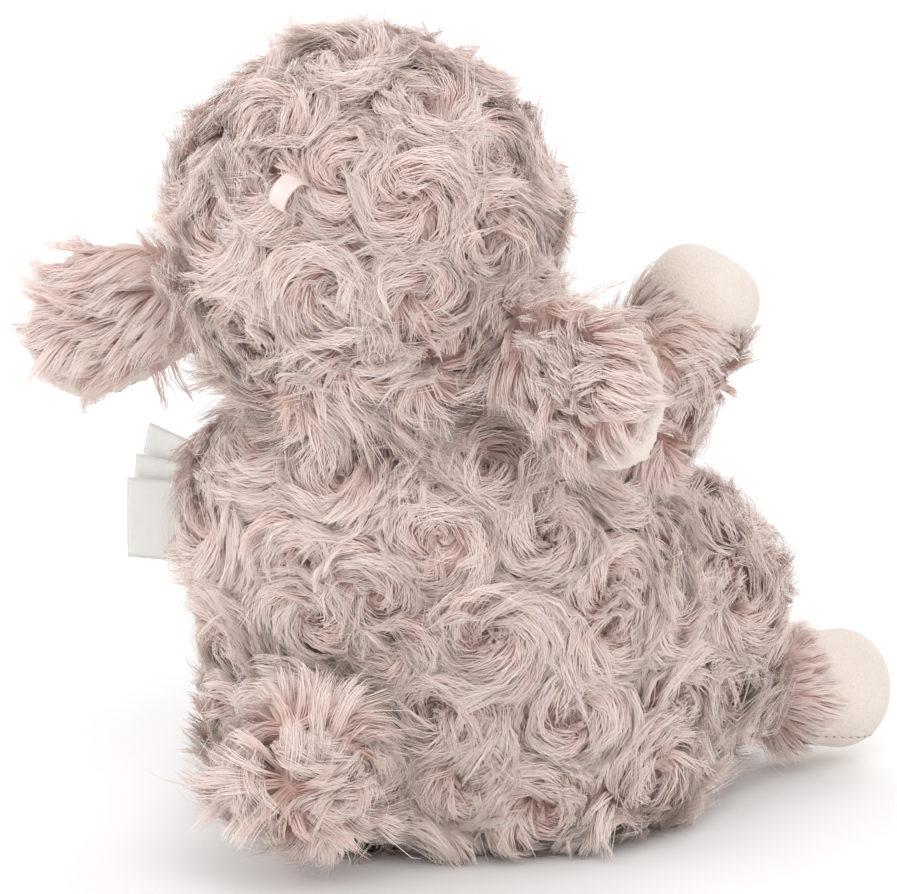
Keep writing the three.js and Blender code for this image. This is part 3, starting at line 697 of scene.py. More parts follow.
class Finish:
    """A material made of nodes."""

    def __init__(self, name: str) -> None:
        """Starts a material with a Principled shader."""
        self.material = bpy.data.materials.new(name)
        self.material.use_nodes = True
        self.bench = Bench(self.material.node_tree)
        self.shader = self.material.node_tree.nodes["Principled BSDF"]

    def set(self, **inputs: Any) -> None:
        """Sets or links the shader's inputs by name, with _ for a space."""
        self.bench.put(self.shader, **inputs)

    def place(self) -> Socket:
        """Object coordinates."""
        return self.bench.node("ShaderNodeTexCoord").outputs["Object"]

    def noise(self, scale: float, detail: float = 2.0, vector: Socket | None = None) -> Socket:
        """A noise value over the piece.

        Args:
            scale: Repeats to a metre.
            detail: How many finer layers it has.
            vector: Where to read it, or None for object coordinates.

        Returns:
            The noise, about 0.5.
        """
        made = self.bench.node("ShaderNodeTexNoise")
        self.bench.feed(made.inputs["Vector"], vector or self.place())
        self.bench.feed(made.inputs["Scale"], scale)
        self.bench.feed(made.inputs["Detail"], detail)
        return made.outputs["Fac"]

    def ramp(self, share: Socket, stops: Sequence[tuple[float, Colour]]) -> Socket:
        """Colours along a share from 0 to 1.

        Args:
            share: Where on the ramp.
            stops: Places and colours.

        Returns:
            The colour.
        """
        made = self.bench.node("ShaderNodeValToRGB")
        band = made.color_ramp
        while len(band.elements) < len(stops):
            band.elements.new(0.5)
        for element, (position, colour) in zip(band.elements, stops):
            element.position = position
            element.color = colour
        self.bench.feed(made.inputs[0], share)
        return made.outputs[0]

    def blend(self, share: Any, low: Any, high: Any, kind: str = "MIX") -> Socket:
        """Mixes two colours.

        Args:
            share: How much of the second.
            low: The first colour.
            high: The second colour.
            kind: The way of mixing.

        Returns:
            The mixed colour.
        """
        made = self.bench.node("ShaderNodeMix", data_type="RGBA", blend_type=kind)
        self.bench.feed(made.inputs[0], share)
        self.bench.feed(made.inputs[6], low)
        self.bench.feed(made.inputs[7], high)
        return made.outputs[2]

    def bump(self, height: Socket, distance: float, strength: float = 1.0) -> None:
        """Roughens the surface by a height.

        Args:
            height: The height, from 0 to 1.
            distance: What a height of one stands for, in metres.
            strength: How much of it shows.
        """
        made = self.bench.node("ShaderNodeBump")
        self.bench.feed(made.inputs["Height"], height)
        self.bench.feed(made.inputs["Distance"], distance)
        self.bench.feed(made.inputs["Strength"], strength)
        self.set(Normal=made.outputs[0])


@dataclass(frozen=True)
class PileFinish:
    """Pile strands: darker at the root as painted shade deep in the pile, paler at the tip, each strand a
    little different.
    """

    name: str
    root: Tone
    body: Tone
    tip: Tone
    warm: Tone
    sheen: float = 0.25

    def make(self) -> Material:
        """Builds the material.

        Returns:
            The material, coloured by the strands' own map.
        """
        finish = Finish(self.name)
        bench = finish.bench
        chart = bench.node("ShaderNodeUVMap", uv_map="OFBake").outputs[0]
        apart = bench.node("ShaderNodeSeparateXYZ")
        bench.feed(apart.inputs[0], chart)
        # Darker towards the root: painted shade where the strands sink into the pile.
        along = finish.ramp(apart.outputs["Y"], [
            (0.0, linear(*self.root)), (0.45, linear(*self.body)), (0.85, linear(*self.tip)),
            (1.0, linear(*self.tip))])
        # The tint's tone: random per strand, lock and tuft, with painted shade near a whorl's eye.
        shade = finish.ramp(apart.outputs["X"], [
            (0.0, linear(*self.warm)), (0.5, linear(246, 242, 241)), (1.0, linear(255, 255, 255))])
        finish.set(
            Base_Color=finish.blend(1.0, along, shade, "MULTIPLY"), Roughness=0.7, Specular_IOR_Level=0.12,
            Sheen_Weight=self.sheen, Sheen_Roughness=0.5)
        return finish.material


@dataclass(frozen=True)
class FabricFinish:
    """Short or bare cloth: two close tones and a fine nap or weave."""

    name: str
    tone: Tone
    deep: Tone
    grain: float
    nap: float
    roughness: float = 0.9
    sheen: float = 0.4

    def make(self) -> Material:
        """Builds the material.

        Returns:
            The material.
        """
        finish = Finish(self.name)
        bench = finish.bench
        broad = finish.noise(self.grain * 0.06, 3.0)
        fine = finish.noise(self.grain, 4.0)
        share = bench.math("ADD", bench.times(broad, 0.55), bench.times(fine, 0.45))
        colour = finish.ramp(share, [(0.3, linear(*self.deep)), (0.62, linear(*self.tone))])
        finish.set(
            Base_Color=colour, Roughness=self.roughness, Specular_IOR_Level=0.25, Sheen_Weight=self.sheen,
            Sheen_Roughness=0.4)
        finish.bump(fine, self.nap)
        return finish.material


@dataclass(frozen=True)
class WeaveFinish:
    """Woven tape or satin: crossing threads along the piece's own chart."""

    name: str
    tone: Tone
    deep: Tone
    warp: float
    weft: float
    height: float
    roughness: float
    coat: float = 0.0

    def make(self) -> Material:
        """Builds the material.

        Returns:
            The material, with its threads along the piece's own map.
        """
        finish = Finish(self.name)
        bench = finish.bench
        chart = bench.node("ShaderNodeUVMap", uv_map="OFBake").outputs[0]
        apart = bench.node("ShaderNodeSeparateXYZ")
        bench.feed(apart.inputs[0], chart)
        across = bench.math("SINE", bench.times(apart.outputs["X"], self.warp * 2 * math.pi))
        along = bench.math("SINE", bench.times(apart.outputs["Y"], self.weft * 2 * math.pi))
        threads = bench.math("MULTIPLY_ADD", bench.times(across, along), 0.5, 0.5)
        wear = finish.noise(240.0, 3.0)
        share = bench.math("ADD", bench.times(threads, 0.5), bench.times(wear, 0.5))
        colour = finish.ramp(share, [(0.2, linear(*self.deep)), (0.65, linear(*self.tone))])
        finish.set(
            Base_Color=colour, Roughness=self.roughness, Sheen_Weight=0.2, Coat_Weight=self.coat,
            Coat_Roughness=0.35)
        finish.bump(threads, self.height)
        return finish.material


@dataclass(frozen=True)
class PlasticFinish:
    """Moulded plastic with a faint unevenness."""

    name: str
    tone: Tone
    deep: Tone
    roughness: float

    def make(self) -> Material:
        """Builds the material.

        Returns:
            The material.
        """
        finish = Finish(self.name)
        cloud = finish.noise(500.0, 3.0)
        colour = finish.ramp(cloud, [(0.35, linear(*self.deep)), (0.65, linear(*self.tone))])
        finish.set(Base_Color=colour, Roughness=self.roughness, Specular_IOR_Level=0.6)
        finish.bump(finish.noise(1400.0, 2.0), 0.00002)
        return finish.material


class Palette:
    """Every finish on the toy."""

    def __init__(self) -> None:
        """Makes the materials."""
        # The pile's root tone is darker than its tip as painted shade deep in the pile.
        self.pile = PileFinish(
            "rosette_pile", root=(240, 206, 198), body=(247, 232, 226), tip=(247, 236, 231),
            warm=(242, 228, 223)).make()
        self.backing = FabricFinish(
            "pile_backing", (230, 203, 196), (214, 184, 177), grain=900.0, nap=0.0004).make()
        self.velour = FabricFinish(
            "cream_velour", (236, 225, 216), (228, 214, 203), grain=1500.0, nap=0.00035).make()
        self.sole = FabricFinish(
            "sole_velour", (240, 229, 219), (228, 212, 200), grain=1500.0, nap=0.00035).make()
        self.fill = FabricFinish(
            "fibre_fill", (246, 246, 242), (226, 226, 220), grain=420.0, nap=0.0008, roughness=1.0).make()
        self.pellets = FabricFinish(
            "pellet_cloth", (222, 218, 210), (196, 190, 180), grain=1100.0, nap=0.0002).make()
        self.ribbon = WeaveFinish(
            "satin_ribbon", (244, 226, 223), (226, 196, 192), warp=4.0, weft=90.0, height=0.00004,
            roughness=0.34, coat=0.25).make()
        self.label = WeaveFinish(
            "woven_label", (243, 242, 239), (228, 226, 222), warp=70.0, weft=78.0, height=0.00006,
            roughness=0.6).make()
        self.eye = PlasticFinish("eye_plastic", (26, 20, 17), (14, 11, 9), roughness=0.09).make()
        self.washer = PlasticFinish("washer_plastic", (232, 232, 228), (218, 218, 212), roughness=0.4).make()
        self.nose = FabricFinish(
            "nose_thread", (190, 144, 139), (158, 112, 108), grain=1800.0, nap=0.0001, roughness=0.6).make()
        self.seam = FabricFinish(
            "seam_thread", (196, 178, 174), (158, 138, 134), grain=2200.0, nap=0.0001, roughness=0.7).make()
        self.cream_thread = FabricFinish(
            "cream_thread", (232, 217, 205), (206, 188, 174), grain=2200.0, nap=0.0001, roughness=0.7).make()


@dataclass
class PhotoCamera:
    """A long lens behind the goat and to its right, a little above it."""

    azimuth: float = 208.0
    elevation: float = 15.0
    distance: float = 3.0
    scale: float = 0.00024
    across: float = 0.0008
    height: float = 0.0895
    nearer: float = 0.045
    sensor: float = 36.0

    def __post_init__(self) -> None:
        """Works out the camera's directions and place."""
        turn = math.radians(self.azimuth)
        self.back = Vector(toward(self.azimuth, self.elevation))
        self.right = Vector((math.cos(turn), math.sin(turn), 0.0))
        self.up = self.back.cross(self.right)
        self.target = self.right * self.across + self.up * self.height + self.back * self.nearer
        self.place = self.target + self.back * self.distance

    def make(self) -> None:
        """Adds the camera to the scene."""
        lens = bpy.data.cameras.new("photo_camera")
        lens.sensor_width = self.sensor
        lens.lens = self.sensor * self.distance / (PHOTO_WIDTH * self.scale)
        lens.clip_start = 0.05
        lens.clip_end = 30.0
        camera = linked("photo_camera", lens)
        camera.location = self.place
        camera.rotation_euler = self.back.to_track_quat("Z", "Y").to_euler()
        bpy.context.scene.camera = camera

    def ray(self, x: float, y: float) -> Vector:
        """The direction in which the camera sees a pixel of the photograph.

        Args:
            x: Pixels from the left.
            y: Pixels from the top.

        Returns:
            The direction, of length one.
        """
        aside = self.right * ((x - PHOTO_WIDTH / 2) * self.scale)
        above = self.up * ((PHOTO_HEIGHT / 2 - y) * self.scale)
        return (self.target + aside + above - self.place).normalized()


@dataclass
class Studio:
    """A pale floor, soft lamps and a bright room."""

    floor_size: float = 12.0
    floor_tones: tuple[float, float] = (0.945, 0.955)
    room: float = 0.86
    aim_height: float = 0.1
    lamps: tuple[tuple[str, Place, float, float], ...] = (
        ("key_lamp", (-1.3, 1.7, 2.0), 2.2, 24.0),
        ("fill_lamp", (1.9, 1.9, 1.2), 2.0, 18.0),
        ("front_lamp", (0.5, -2.1, 1.6), 2.0, 16.0),
    )

    def make(self) -> None:
        """Builds the floor, the lamps and the room's light."""
        half = self.floor_size / 2
        data = bpy.data.meshes.new("floor")
        corners = [(-half, -half, 0), (half, -half, 0), (half, half, 0), (-half, half, 0)]
        data.from_pydata(corners, [], [(0, 1, 2, 3)])
        data.materials.append(self._floor_finish())
        linked("floor", data)
        for name, place, size, power in self.lamps:
            lamp = bpy.data.lights.new(name, "AREA")
            lamp.shape = "DISK"
            lamp.size = size
            lamp.energy = power
            holder = linked(name, lamp)
            holder.location = place
            aim = Vector(place) - Vector((0, 0, self.aim_height))
            holder.rotation_euler = aim.to_track_quat("Z", "Y").to_euler()
        self._room()

    def _floor_finish(self) -> Material:
        """Makes a pale matt floor that keeps the shadow.

        Returns:
            The material.
        """
        finish = Finish("floor_paper")
        grain = finish.noise(60.0, 2.0)
        deep, pale = [(tone, tone, tone, 1.0) for tone in self.floor_tones]
        colour = finish.ramp(grain, [(0.3, deep), (0.7, pale)])
        finish.set(Base_Color=colour, Roughness=0.95, Specular_IOR_Level=0.0)
        return finish.material

    def _room(self) -> None:
        """Lights the scene from all round, white to the camera and plain to the object."""
        world = bpy.data.worlds.new("studio_room")
        bpy.context.scene.world = world
        world.use_nodes = True
        bench = Bench(world.node_tree)
        paths = bench.node("ShaderNodeLightPath").outputs
        seen = bench.math("MAXIMUM", paths["Is Camera Ray"], bench.math(
            "MAXIMUM", paths["Is Glossy Ray"], paths["Is Transmission Ray"]))
        strength = bench.math("MULTIPLY_ADD", seen, 1.0 - self.room, self.room)
        ground = world.node_tree.nodes["Background"]
        ground.inputs["Color"].default_value = (1, 1, 1, 1)
        bench.feed(ground.inputs["Strength"], strength)
        settings = bpy.context.scene.view_settings
        settings.view_transform = "Standard"


@dataclass
class Surface:
    """A triangle or quad mesh in millimetres."""

    points: Array
    faces: list[tuple[int, ...]]

    def object(self, name: str) -> Object:
        """Makes a Blender object of it, in metres.

        Args:
            name: The object's name.

        Returns:
            The object, in the scene.
        """
        data = bpy.data.meshes.new(name)
        data.from_pydata((self.points * MM).tolist(), [], self.faces)
        data.validate()
        return linked(name, data)


def lathe(profile: Sequence[tuple[float, float]], around: int) -> Surface:
    """Turns a profile about +Y into a closed surface.

    Args:
        profile: Radius and height of each ring, with the ends on the axis.
        around: Points in a ring.

    Returns:
        The surface.
    """
    turns = np.linspace(0, 2 * math.pi, around, endpoint=False)
    inner = profile[1:-1]
    points = [np.array([[0.0, profile[0][1], 0.0]])]
    for radius, height in inner:
        points.append(np.stack(
            [radius * np.cos(turns), np.full(around, height), -radius * np.sin(turns)], axis=1))
    points.append(np.array([[0.0, profile[-1][1], 0.0]]))
    faces: list[tuple[int, ...]] = []
    for i in range(around):
        k = (i + 1) % around
        faces.append((0, 1 + k, 1 + i))
        for ring in range(len(inner) - 1):
            a = 1 + ring * around
            b = a + around
            faces.append((a + i, a + k, b + k, b + i))
        last = 1 + (len(inner) - 1) * around
        faces.append((last + i, last + k, len(inner) * around + 1))
    return Surface(np.concatenate(points), faces)


def ball(radii: Place, centre: Sequence[float], rows: int = 48) -> Surface:
    """An ellipsoid.

    Args:
        radii: Half sizes along X, Y and Z.
        centre: Its middle.
        rows: Rings from pole to pole.

    Returns:
        The surface.
    """
    angles = np.linspace(-math.pi / 2, math.pi / 2, rows + 1)
    made = lathe([(math.cos(a), math.sin(a)) for a in angles], 2 * rows)
    points = made.points[:, [0, 2, 1]] * np.array([1, -1, 1])
    return Surface(points * np.array(radii) + np.array(centre), made.faces)


def stood(surface: Surface, place: Sequence[float], along: Sequence[float]) -> Surface:
    """Stands a surface that was made along +Y at a place.

    Args:
        surface: The surface.
        place: Where its origin goes.
        along: Where its +Y goes.

    Returns:
        The placed surface.
    """
    turn = Vector((0, 1, 0)).rotation_difference(Vector(along).normalized())
    frame_of = np.array(turn.to_matrix())
    return Surface(surface.points @ frame_of.T + np.array(place), surface.faces)


def together(surfaces: Sequence[Surface]) -> Surface:
    """Puts surfaces in one mesh.

    Args:
        surfaces: The surfaces.

    Returns:
        One surface with all their faces.
    """
    points: list[Array] = []
    faces: list[tuple[int, ...]] = []
    start = 0
    for surface in surfaces:
        points.append(surface.points)
        faces += [tuple(i + start for i in face) for face in surface.faces]
        start += len(surface.points)
    return Surface(np.concatenate(points), faces)


def discard(obj: Object) -> None:
    """Removes an object and its mesh."""
    data = obj.data
    bpy.data.objects.remove(obj)
    bpy.data.meshes.remove(data)


def plain(obj: Object, name: str) -> Object:
    """Applies an object's modifiers and gives the result as a new plain object.

    Args:
        obj: The object, which is removed.
        name: The new object's name.

    Returns:
        The new object.
    """
    graph = bpy.context.evaluated_depsgraph_get()
    data = bpy.data.meshes.new_from_object(obj.evaluated_get(graph))
    discard(obj)
    data.name = name
    return linked(name, data)


def melted(surface: Surface, voxel: float, rounds: int) -> Surface:
    """Joins overlapping closed surfaces into one even skin.

    Args:
        surface: The surfaces in one mesh.
        voxel: The skin's mesh size.
        rounds: How often it is smoothed.

    Returns:
        The skin.
    """
    obj = surface.object("melting")
    remesh = obj.modifiers.new("even", "REMESH")
    remesh.mode = "VOXEL"
    remesh.voxel_size = voxel * MM
    smooth = obj.modifiers.new("soft", "SMOOTH")
    smooth.factor = 0.5
    smooth.iterations = rounds
    return taken(plain(obj, "melted"))


def taken(obj: Object) -> Surface:
    """Takes an object's mesh out of the scene.

    Args:
        obj: The object, which is removed.

    Returns:
        Its surface in millimetres.
    """
    points = np.empty(len(obj.data.vertices) * 3)
    obj.data.vertices.foreach_get("co", points)
    faces = [tuple(face.vertices) for face in obj.data.polygons]
    discard(obj)
    return Surface(points.reshape(-1, 3) / MM, faces)


def sliced(surface: Surface, place: Vector, beyond: Vector) -> Surface:
    """Cuts a closed surface by a plane and closes what is kept.

    Args:
        surface: The surface.
        place: A point on the plane.
        beyond: Points to the side that is cut off.

    Returns:
        The kept side.
    """
    obj = surface.object("slicing")
    cutter = bmesh.new()
    cutter.from_mesh(obj.data)
    everything = [*cutter.verts, *cutter.edges, *cutter.faces]
    bmesh.ops.bisect_plane(
        cutter, geom=everything, plane_co=place * MM, plane_no=beyond, clear_outer=True, clear_inner=False)
    rim = [edge for edge in cutter.edges if edge.is_boundary]
    bmesh.ops.edgeloop_fill(cutter, edges=rim)
    bmesh.ops.recalc_face_normals(cutter, faces=cutter.faces)
    cutter.to_mesh(obj.data)
    cutter.free()
    return taken(obj)


def normals_of(surface: Surface) -> Array:
    """The outward direction at each point of a surface.

    Args:
        surface: The surface.

    Returns:
        One direction for each point.
    """
    obj = surface.object("normals")
    found = np.empty(len(obj.data.vertices) * 3)
    obj.data.vertices.foreach_get("normal", found)
    discard(obj)
    return found.reshape(-1, 3)


def shrunk(surface: Surface, depth: float) -> Surface:
    """A surface drawn inwards everywhere by a depth in millimetres, without folds."""
    drawn = Surface(surface.points - normals_of(surface) * depth, surface.faces)
    return melted(drawn, voxel=2.0, rounds=2)


def pushed_out(points: Array, centre: Sequence[float], radius: float) -> Array:
    """Hollows a skin into a round seat, so that a ball has room in it.

    Args:
        points: The skin's points.
        centre: The ball's middle.
        radius: The seat's radius.

    Returns:
        The moved points.
    """
    away = points - np.array(centre)
    far = np.linalg.norm(away, axis=1, keepdims=True)
    return np.where(far < radius, np.array(centre) + away / np.maximum(far, 1e-6) * radius, points)


@dataclass
class Whorls:
    """The middles of the pile's swirls on one skin."""

    places: Array
    spin: Array
    fan: Array
    spread: float = 9.0

    def loft(self, points: Array, low: float, high: float, seed: int) -> Array:
        """How high the pile of the whorls nearby stands at each point.

        Args:
            points: The skin's points.
            low: The lowest share.
            high: The highest share.
            seed: Fixes the shares.

        Returns:
            A share for each point.
        """
        shares = np.random.default_rng(seed).uniform(low, high, len(self.places))
        far = np.linalg.norm(points[:, None, :] - self.places[None, :, :], axis=2)
        weight = np.exp(-(far / self.spread) ** 2) + 1e-9
        return (weight * shares).sum(axis=1) / weight.sum(axis=1)

    def object(self, name: str) -> Object:
        """Makes a point mesh that the pile's tree reads.

        Args:
            name: The object's name.

        Returns:
            The object.
        """
        data = bpy.data.meshes.new(name)
        data.from_pydata((self.places * MM).tolist(), [], [])
        store(data, {"spin": self.spin, "fan": self.fan})
        return linked(name, data)


@dataclass
class RosettePattern:
    """How rosettes lie on a skin and swell it."""

    crest: float = 2.2
    crest_at: float = 7.5
    crest_width: float = 4.2
    dimple: float = 2.6
    dimple_width: float = 3.2
    valley: float = 2.4
    valley_width: float = 3.6
    spin: float = 1.0
    fan: float = 0.38
    spins: tuple[float, float] = (0.8, 1.1)
    fans: tuple[float, float] = (0.7, 1.3)

    def whorls(self, points: Array, middles: Array, seed: int) -> Whorls:
        """Sets rosettes on a skin.

        Args:
            points: The skin's points.
            middles: About where the rosettes are.
            seed: Fixes which way each turns.

        Returns:
            The whorls.
        """
        chance = np.random.default_rng(seed)
        kept = np.array([points[np.argmin(np.sum((points - middle) ** 2, axis=1))] for middle in middles])
        count = len(kept)
        turn = np.where(chance.random(count) < 0.5, -1.0, 1.0) * chance.uniform(*self.spins, count)
        return Whorls(kept, turn * self.spin, chance.uniform(*self.fans, count) * self.fan)

    def swell(self, points: Array, whorls: Whorls) -> Array:
        """How far the skin swells at each point.

        Args:
            points: The skin's points.
            whorls: The swirls on it.

        Returns:
            The swelling in millimetres.
        """
        far = np.linalg.norm(points[:, None, :] - whorls.places[None, :, :], axis=2)
        far = np.sort(far, axis=1)
        first = far[:, 0]
        second = far[:, 1] if far.shape[1] > 1 else first + 100
        crest = self.crest * np.exp(-((first - self.crest_at) / self.crest_width) ** 2)
        dimple = self.dimple * np.exp(-(first / self.dimple_width) ** 2)
        valley = self.valley * np.exp(-((second - first) / self.valley_width) ** 2)
        return crest - dimple - valley


@dataclass(frozen=True)
class RosetteLayout:
    """Where rosettes lie: those that the photograph shows, and more that fill the gaps between them."""

    pixels: tuple[tuple[int, int], ...]
    gap: float
    reach: float = 12.0
    depth: float = 12.0
    turned: float = 28.0
    raised: float = 15.0
    scale: float = 0.24
    origin: tuple[float, float] = (445.0, 820.0)

    def middles(self, places: Array) -> Array:
        """Chooses the rosettes' middles.

        Args:
            places: The places to choose from.

        Returns:
            The place nearest to each rosette that shows, then those that fill the widest gaps.
        """
        right = toward(self.turned - 90, 0)
        above = toward(self.turned, 90 - self.raised)
        front = toward(self.turned + 180, self.raised)
        shown = np.array(self.origin) + np.stack([places @ right, -(places @ above)], axis=1) / self.scale
        near = places @ front
        chosen: list[int] = []
        for pixel in self.pixels:
            off = np.linalg.norm(shown - np.array(pixel), axis=1)
            close = off < self.reach
            if close.any():
                close &= near > near[close].max() - self.depth
                chosen.append(int(np.argmin(np.where(close, off, np.inf))))
        empty = np.min(np.linalg.norm(places[:, None] - places[chosen][None], axis=2), axis=1)
        while empty.max() >= self.gap:
            chosen.append(int(np.argmax(empty)))
            empty = np.minimum(empty, np.linalg.norm(places - places[chosen[-1]], axis=1))
        return places[chosen]


@dataclass
class Coat:
    """How thickly each point of a skin bears pile, and how high it stands."""

    bears: Array
    loft: Array

    def only(self, mask: Array) -> "Coat":
        """The same coat on some of the points alone."""
        return Coat(self.bears * mask, self.loft)


@dataclass
class Pile:
    """One cut of pile fabric and how it is combed."""

    finish: Material
    strands: float = 3.0e6
    locks: float = 2.4e5
    tufts: float = 4.4e4
    length: float = 0.011
    width: float = 0.00027
    lift: float = 0.0056
    draw: float = 0.55
    bunch: float = 0.36
    sway: float = 0.3
    free: float = 0.3
    stray: float = 0.008
    wander: float = 0.008
    # How strongly painted shade darkens the strands near a whorl's eye.
    shade: float = 0.35

    def grow(self, tree: PileTree, skin: Surface, coat: Coat, whorls: Whorls, name: str,
             seed: int) -> Object:
        """Grows the pile on a skin.

        Args:
            tree: The pile's node tree.
            skin: The skin.
            coat: How thick and how high the pile is at each point.
            whorls: The swirls that it is combed in.
            name: The new piece's name.
            seed: Fixes the strands.

        Returns:
            The strands as one plain piece.
        """
        middles = whorls.object("whorls")
        base = skin.object("pile_base")
        base.data.shade_smooth()
        store(base.data, {"pile": coat.bears, "loft": coat.loft})
        values = {"Whorls": middles, "Seed": seed}
        for setting in fields(self):
            values[setting.name.capitalize()] = getattr(self, setting.name)
        made = worked(base, tree.tree, values, name)
        discard(middles)
        return made


@dataclass
class Workshop:
    """What every sub-assembly needs while it is made."""

    palette: Palette
    camera: PhotoCamera
    tree: PileTree
    stitches: StitchTree
    wadding_gap: float = 0.8
    seed_step: int = 31
    made: list[str] = field(default_factory=list)

    def place(self, obj: Object, body: str, slot: Slot, finish: Material | None = None) -> None:
        """Gives a piece its finish and the body it rides on.

        Args:
            obj: The piece.
            body: The body's name.
            slot: The record's slot; not used.
            finish: The material, or None to keep what it has.
        """
        if finish is not None:
            obj.data.materials.clear()
            obj.data.materials.append(finish)
        obj.data.shade_smooth()
        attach(obj, body)
        self.made.append(obj.name)
        LOG.info("%s rides on %s", obj.name, body)

    def cover(self, obj: Object, body: str, slot: Slot, finish: Material, node: str) -> None:
        """Places a stuffed piece over its CAD node.

        Args:
            obj: The piece.
            body: The body's name.
            slot: The record's slot.
            finish: The material.
            node: The node that it replaces.
        """
        self.place(obj, body, slot, finish)
        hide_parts(node)

    def dress(self, node: str, finish: Material) -> None:
        """Gives a CAD node that stays in place a finish.

        Args:
            node: The node's name.
            finish: The material.
        """
        obj = frame["nodes"][node]
        for holder in [obj, *obj.children_recursive]:
            if holder.type == "MESH":
                holder.data.materials.clear()
                holder.data.materials.append(finish)
        LOG.info("%s keeps its solid", node)

    def stuff(self, filling: Surface, node: str, body: str) -> None:
        """Puts wadding in a piece in place of its CAD stuffing.

        Args:
            filling: The wadding's surface.
            node: The stuffing's node.
            body: The body that it rides on.
        """
        self.cover(filling.object(f"{node}_wadding"), body, Slot.FILL, self.palette.fill, node)

    def seen(self, skin: Surface, pixels: Sequence[tuple[float, float]]) -> Array:
        """Where the camera's rays through pixels meet a skin.

        Args:
            skin: The skin.
            pixels: Places in the photograph.

        Returns:
            The places on the skin.
        """
        tree = BVHTree.FromPolygons([tuple(p) for p in skin.points * MM], skin.faces)
        found = []
        for x, y in pixels:
            hit = tree.ray_cast(self.camera.place, self.camera.ray(x, y))[0]
            if hit is not None:
                found.append(np.array(hit) / MM)
        return np.array(found).reshape(-1, 3)

    def piles(self, pile: Pile, skin: Surface, coat: Coat, whorls: Whorls, body: str, name: str,
              seed: int, regions: Sequence[tuple[str, Array]] = ()) -> None:
        """Grows pile on a skin, region by region, so that no piece grows too heavy.

        Args:
            pile: The pile.
            skin: The skin.
            coat: How thick and how high the pile is at each point.
            whorls: The swirls.
            body: The body that it rides on.
            name: The pieces' first words.
            seed: Fixes the strands.
            regions: A name and a mask of points for each piece, or none for one piece.
        """
        whole = [("", np.ones(len(skin.points), bool))]
        for order, (region, mask) in enumerate(regions or whole):
            label = f"{name}_{region}" if region else name
            fixed = seed + self.seed_step * order
            strands = pile.grow(self.tree, skin, coat.only(mask), whorls, label, fixed)
            self.place(strands, body, Slot.PILE)
            LOG.info("%s has %d faces", label, len(strands.data.polygons))


def shell(skin: Surface, name: str, inside: Array, wall: float) -> Object:
    """Cuts a panel out of a skin and gives it a thickness inwards.

    Args:
        skin: The whole skin.
        name: The panel's name.
        inside: Which of its points belong to the panel.
        wall: The panel's thickness in millimetres.

    Returns:
        The panel as a closed piece.
    """
    faces = [face for face in skin.faces if all(inside[i] for i in face)]
    used = np.unique(np.concatenate([np.array(face) for face in faces]))
    number = {int(old): new for new, old in enumerate(used)}
    panel = Surface(skin.points[used], [tuple(number[i] for i in face) for face in faces])
    obj = panel.object(name + "_cut")
    solid = obj.modifiers.new("wall", "SOLIDIFY")
    solid.thickness = wall * MM
    solid.offset = -1.0
    return plain(obj, name)


def strip(points: Sequence[Sequence[float]], columns: int, thickness: float, name: str) -> Object:
    """Makes a thin woven strip of a grid of points, with its own chart.

    Args:
        points: The grid's points, row by row, in millimetres.
        columns: Points in a row.
        thickness: The strip's thickness in millimetres.
        name: The strip's name.

    Returns:
        The strip as a closed piece.
    """
    rows = len(points) // columns
    faces = []
    for row, column in product(range(rows - 1), range(columns - 1)):
        corner = row * columns + column
        faces.append((corner, corner + 1, corner + columns + 1, corner + columns))
    obj = Surface(np.array(points), faces).object(f"{name}_strip")
    chart = obj.data.uv_layers.new(name="OFBake")
    for face in obj.data.polygons:
        for loop_index, vertex in zip(face.loop_indices, face.vertices):
            row, column = divmod(vertex, columns)
            chart.data[loop_index].uv = (column / (columns - 1), row / (rows - 1))
    solid = obj.modifiers.new("thickness", "SOLIDIFY")
    solid.thickness = thickness * MM
    solid.offset = 0.0
    return plain(obj, name)


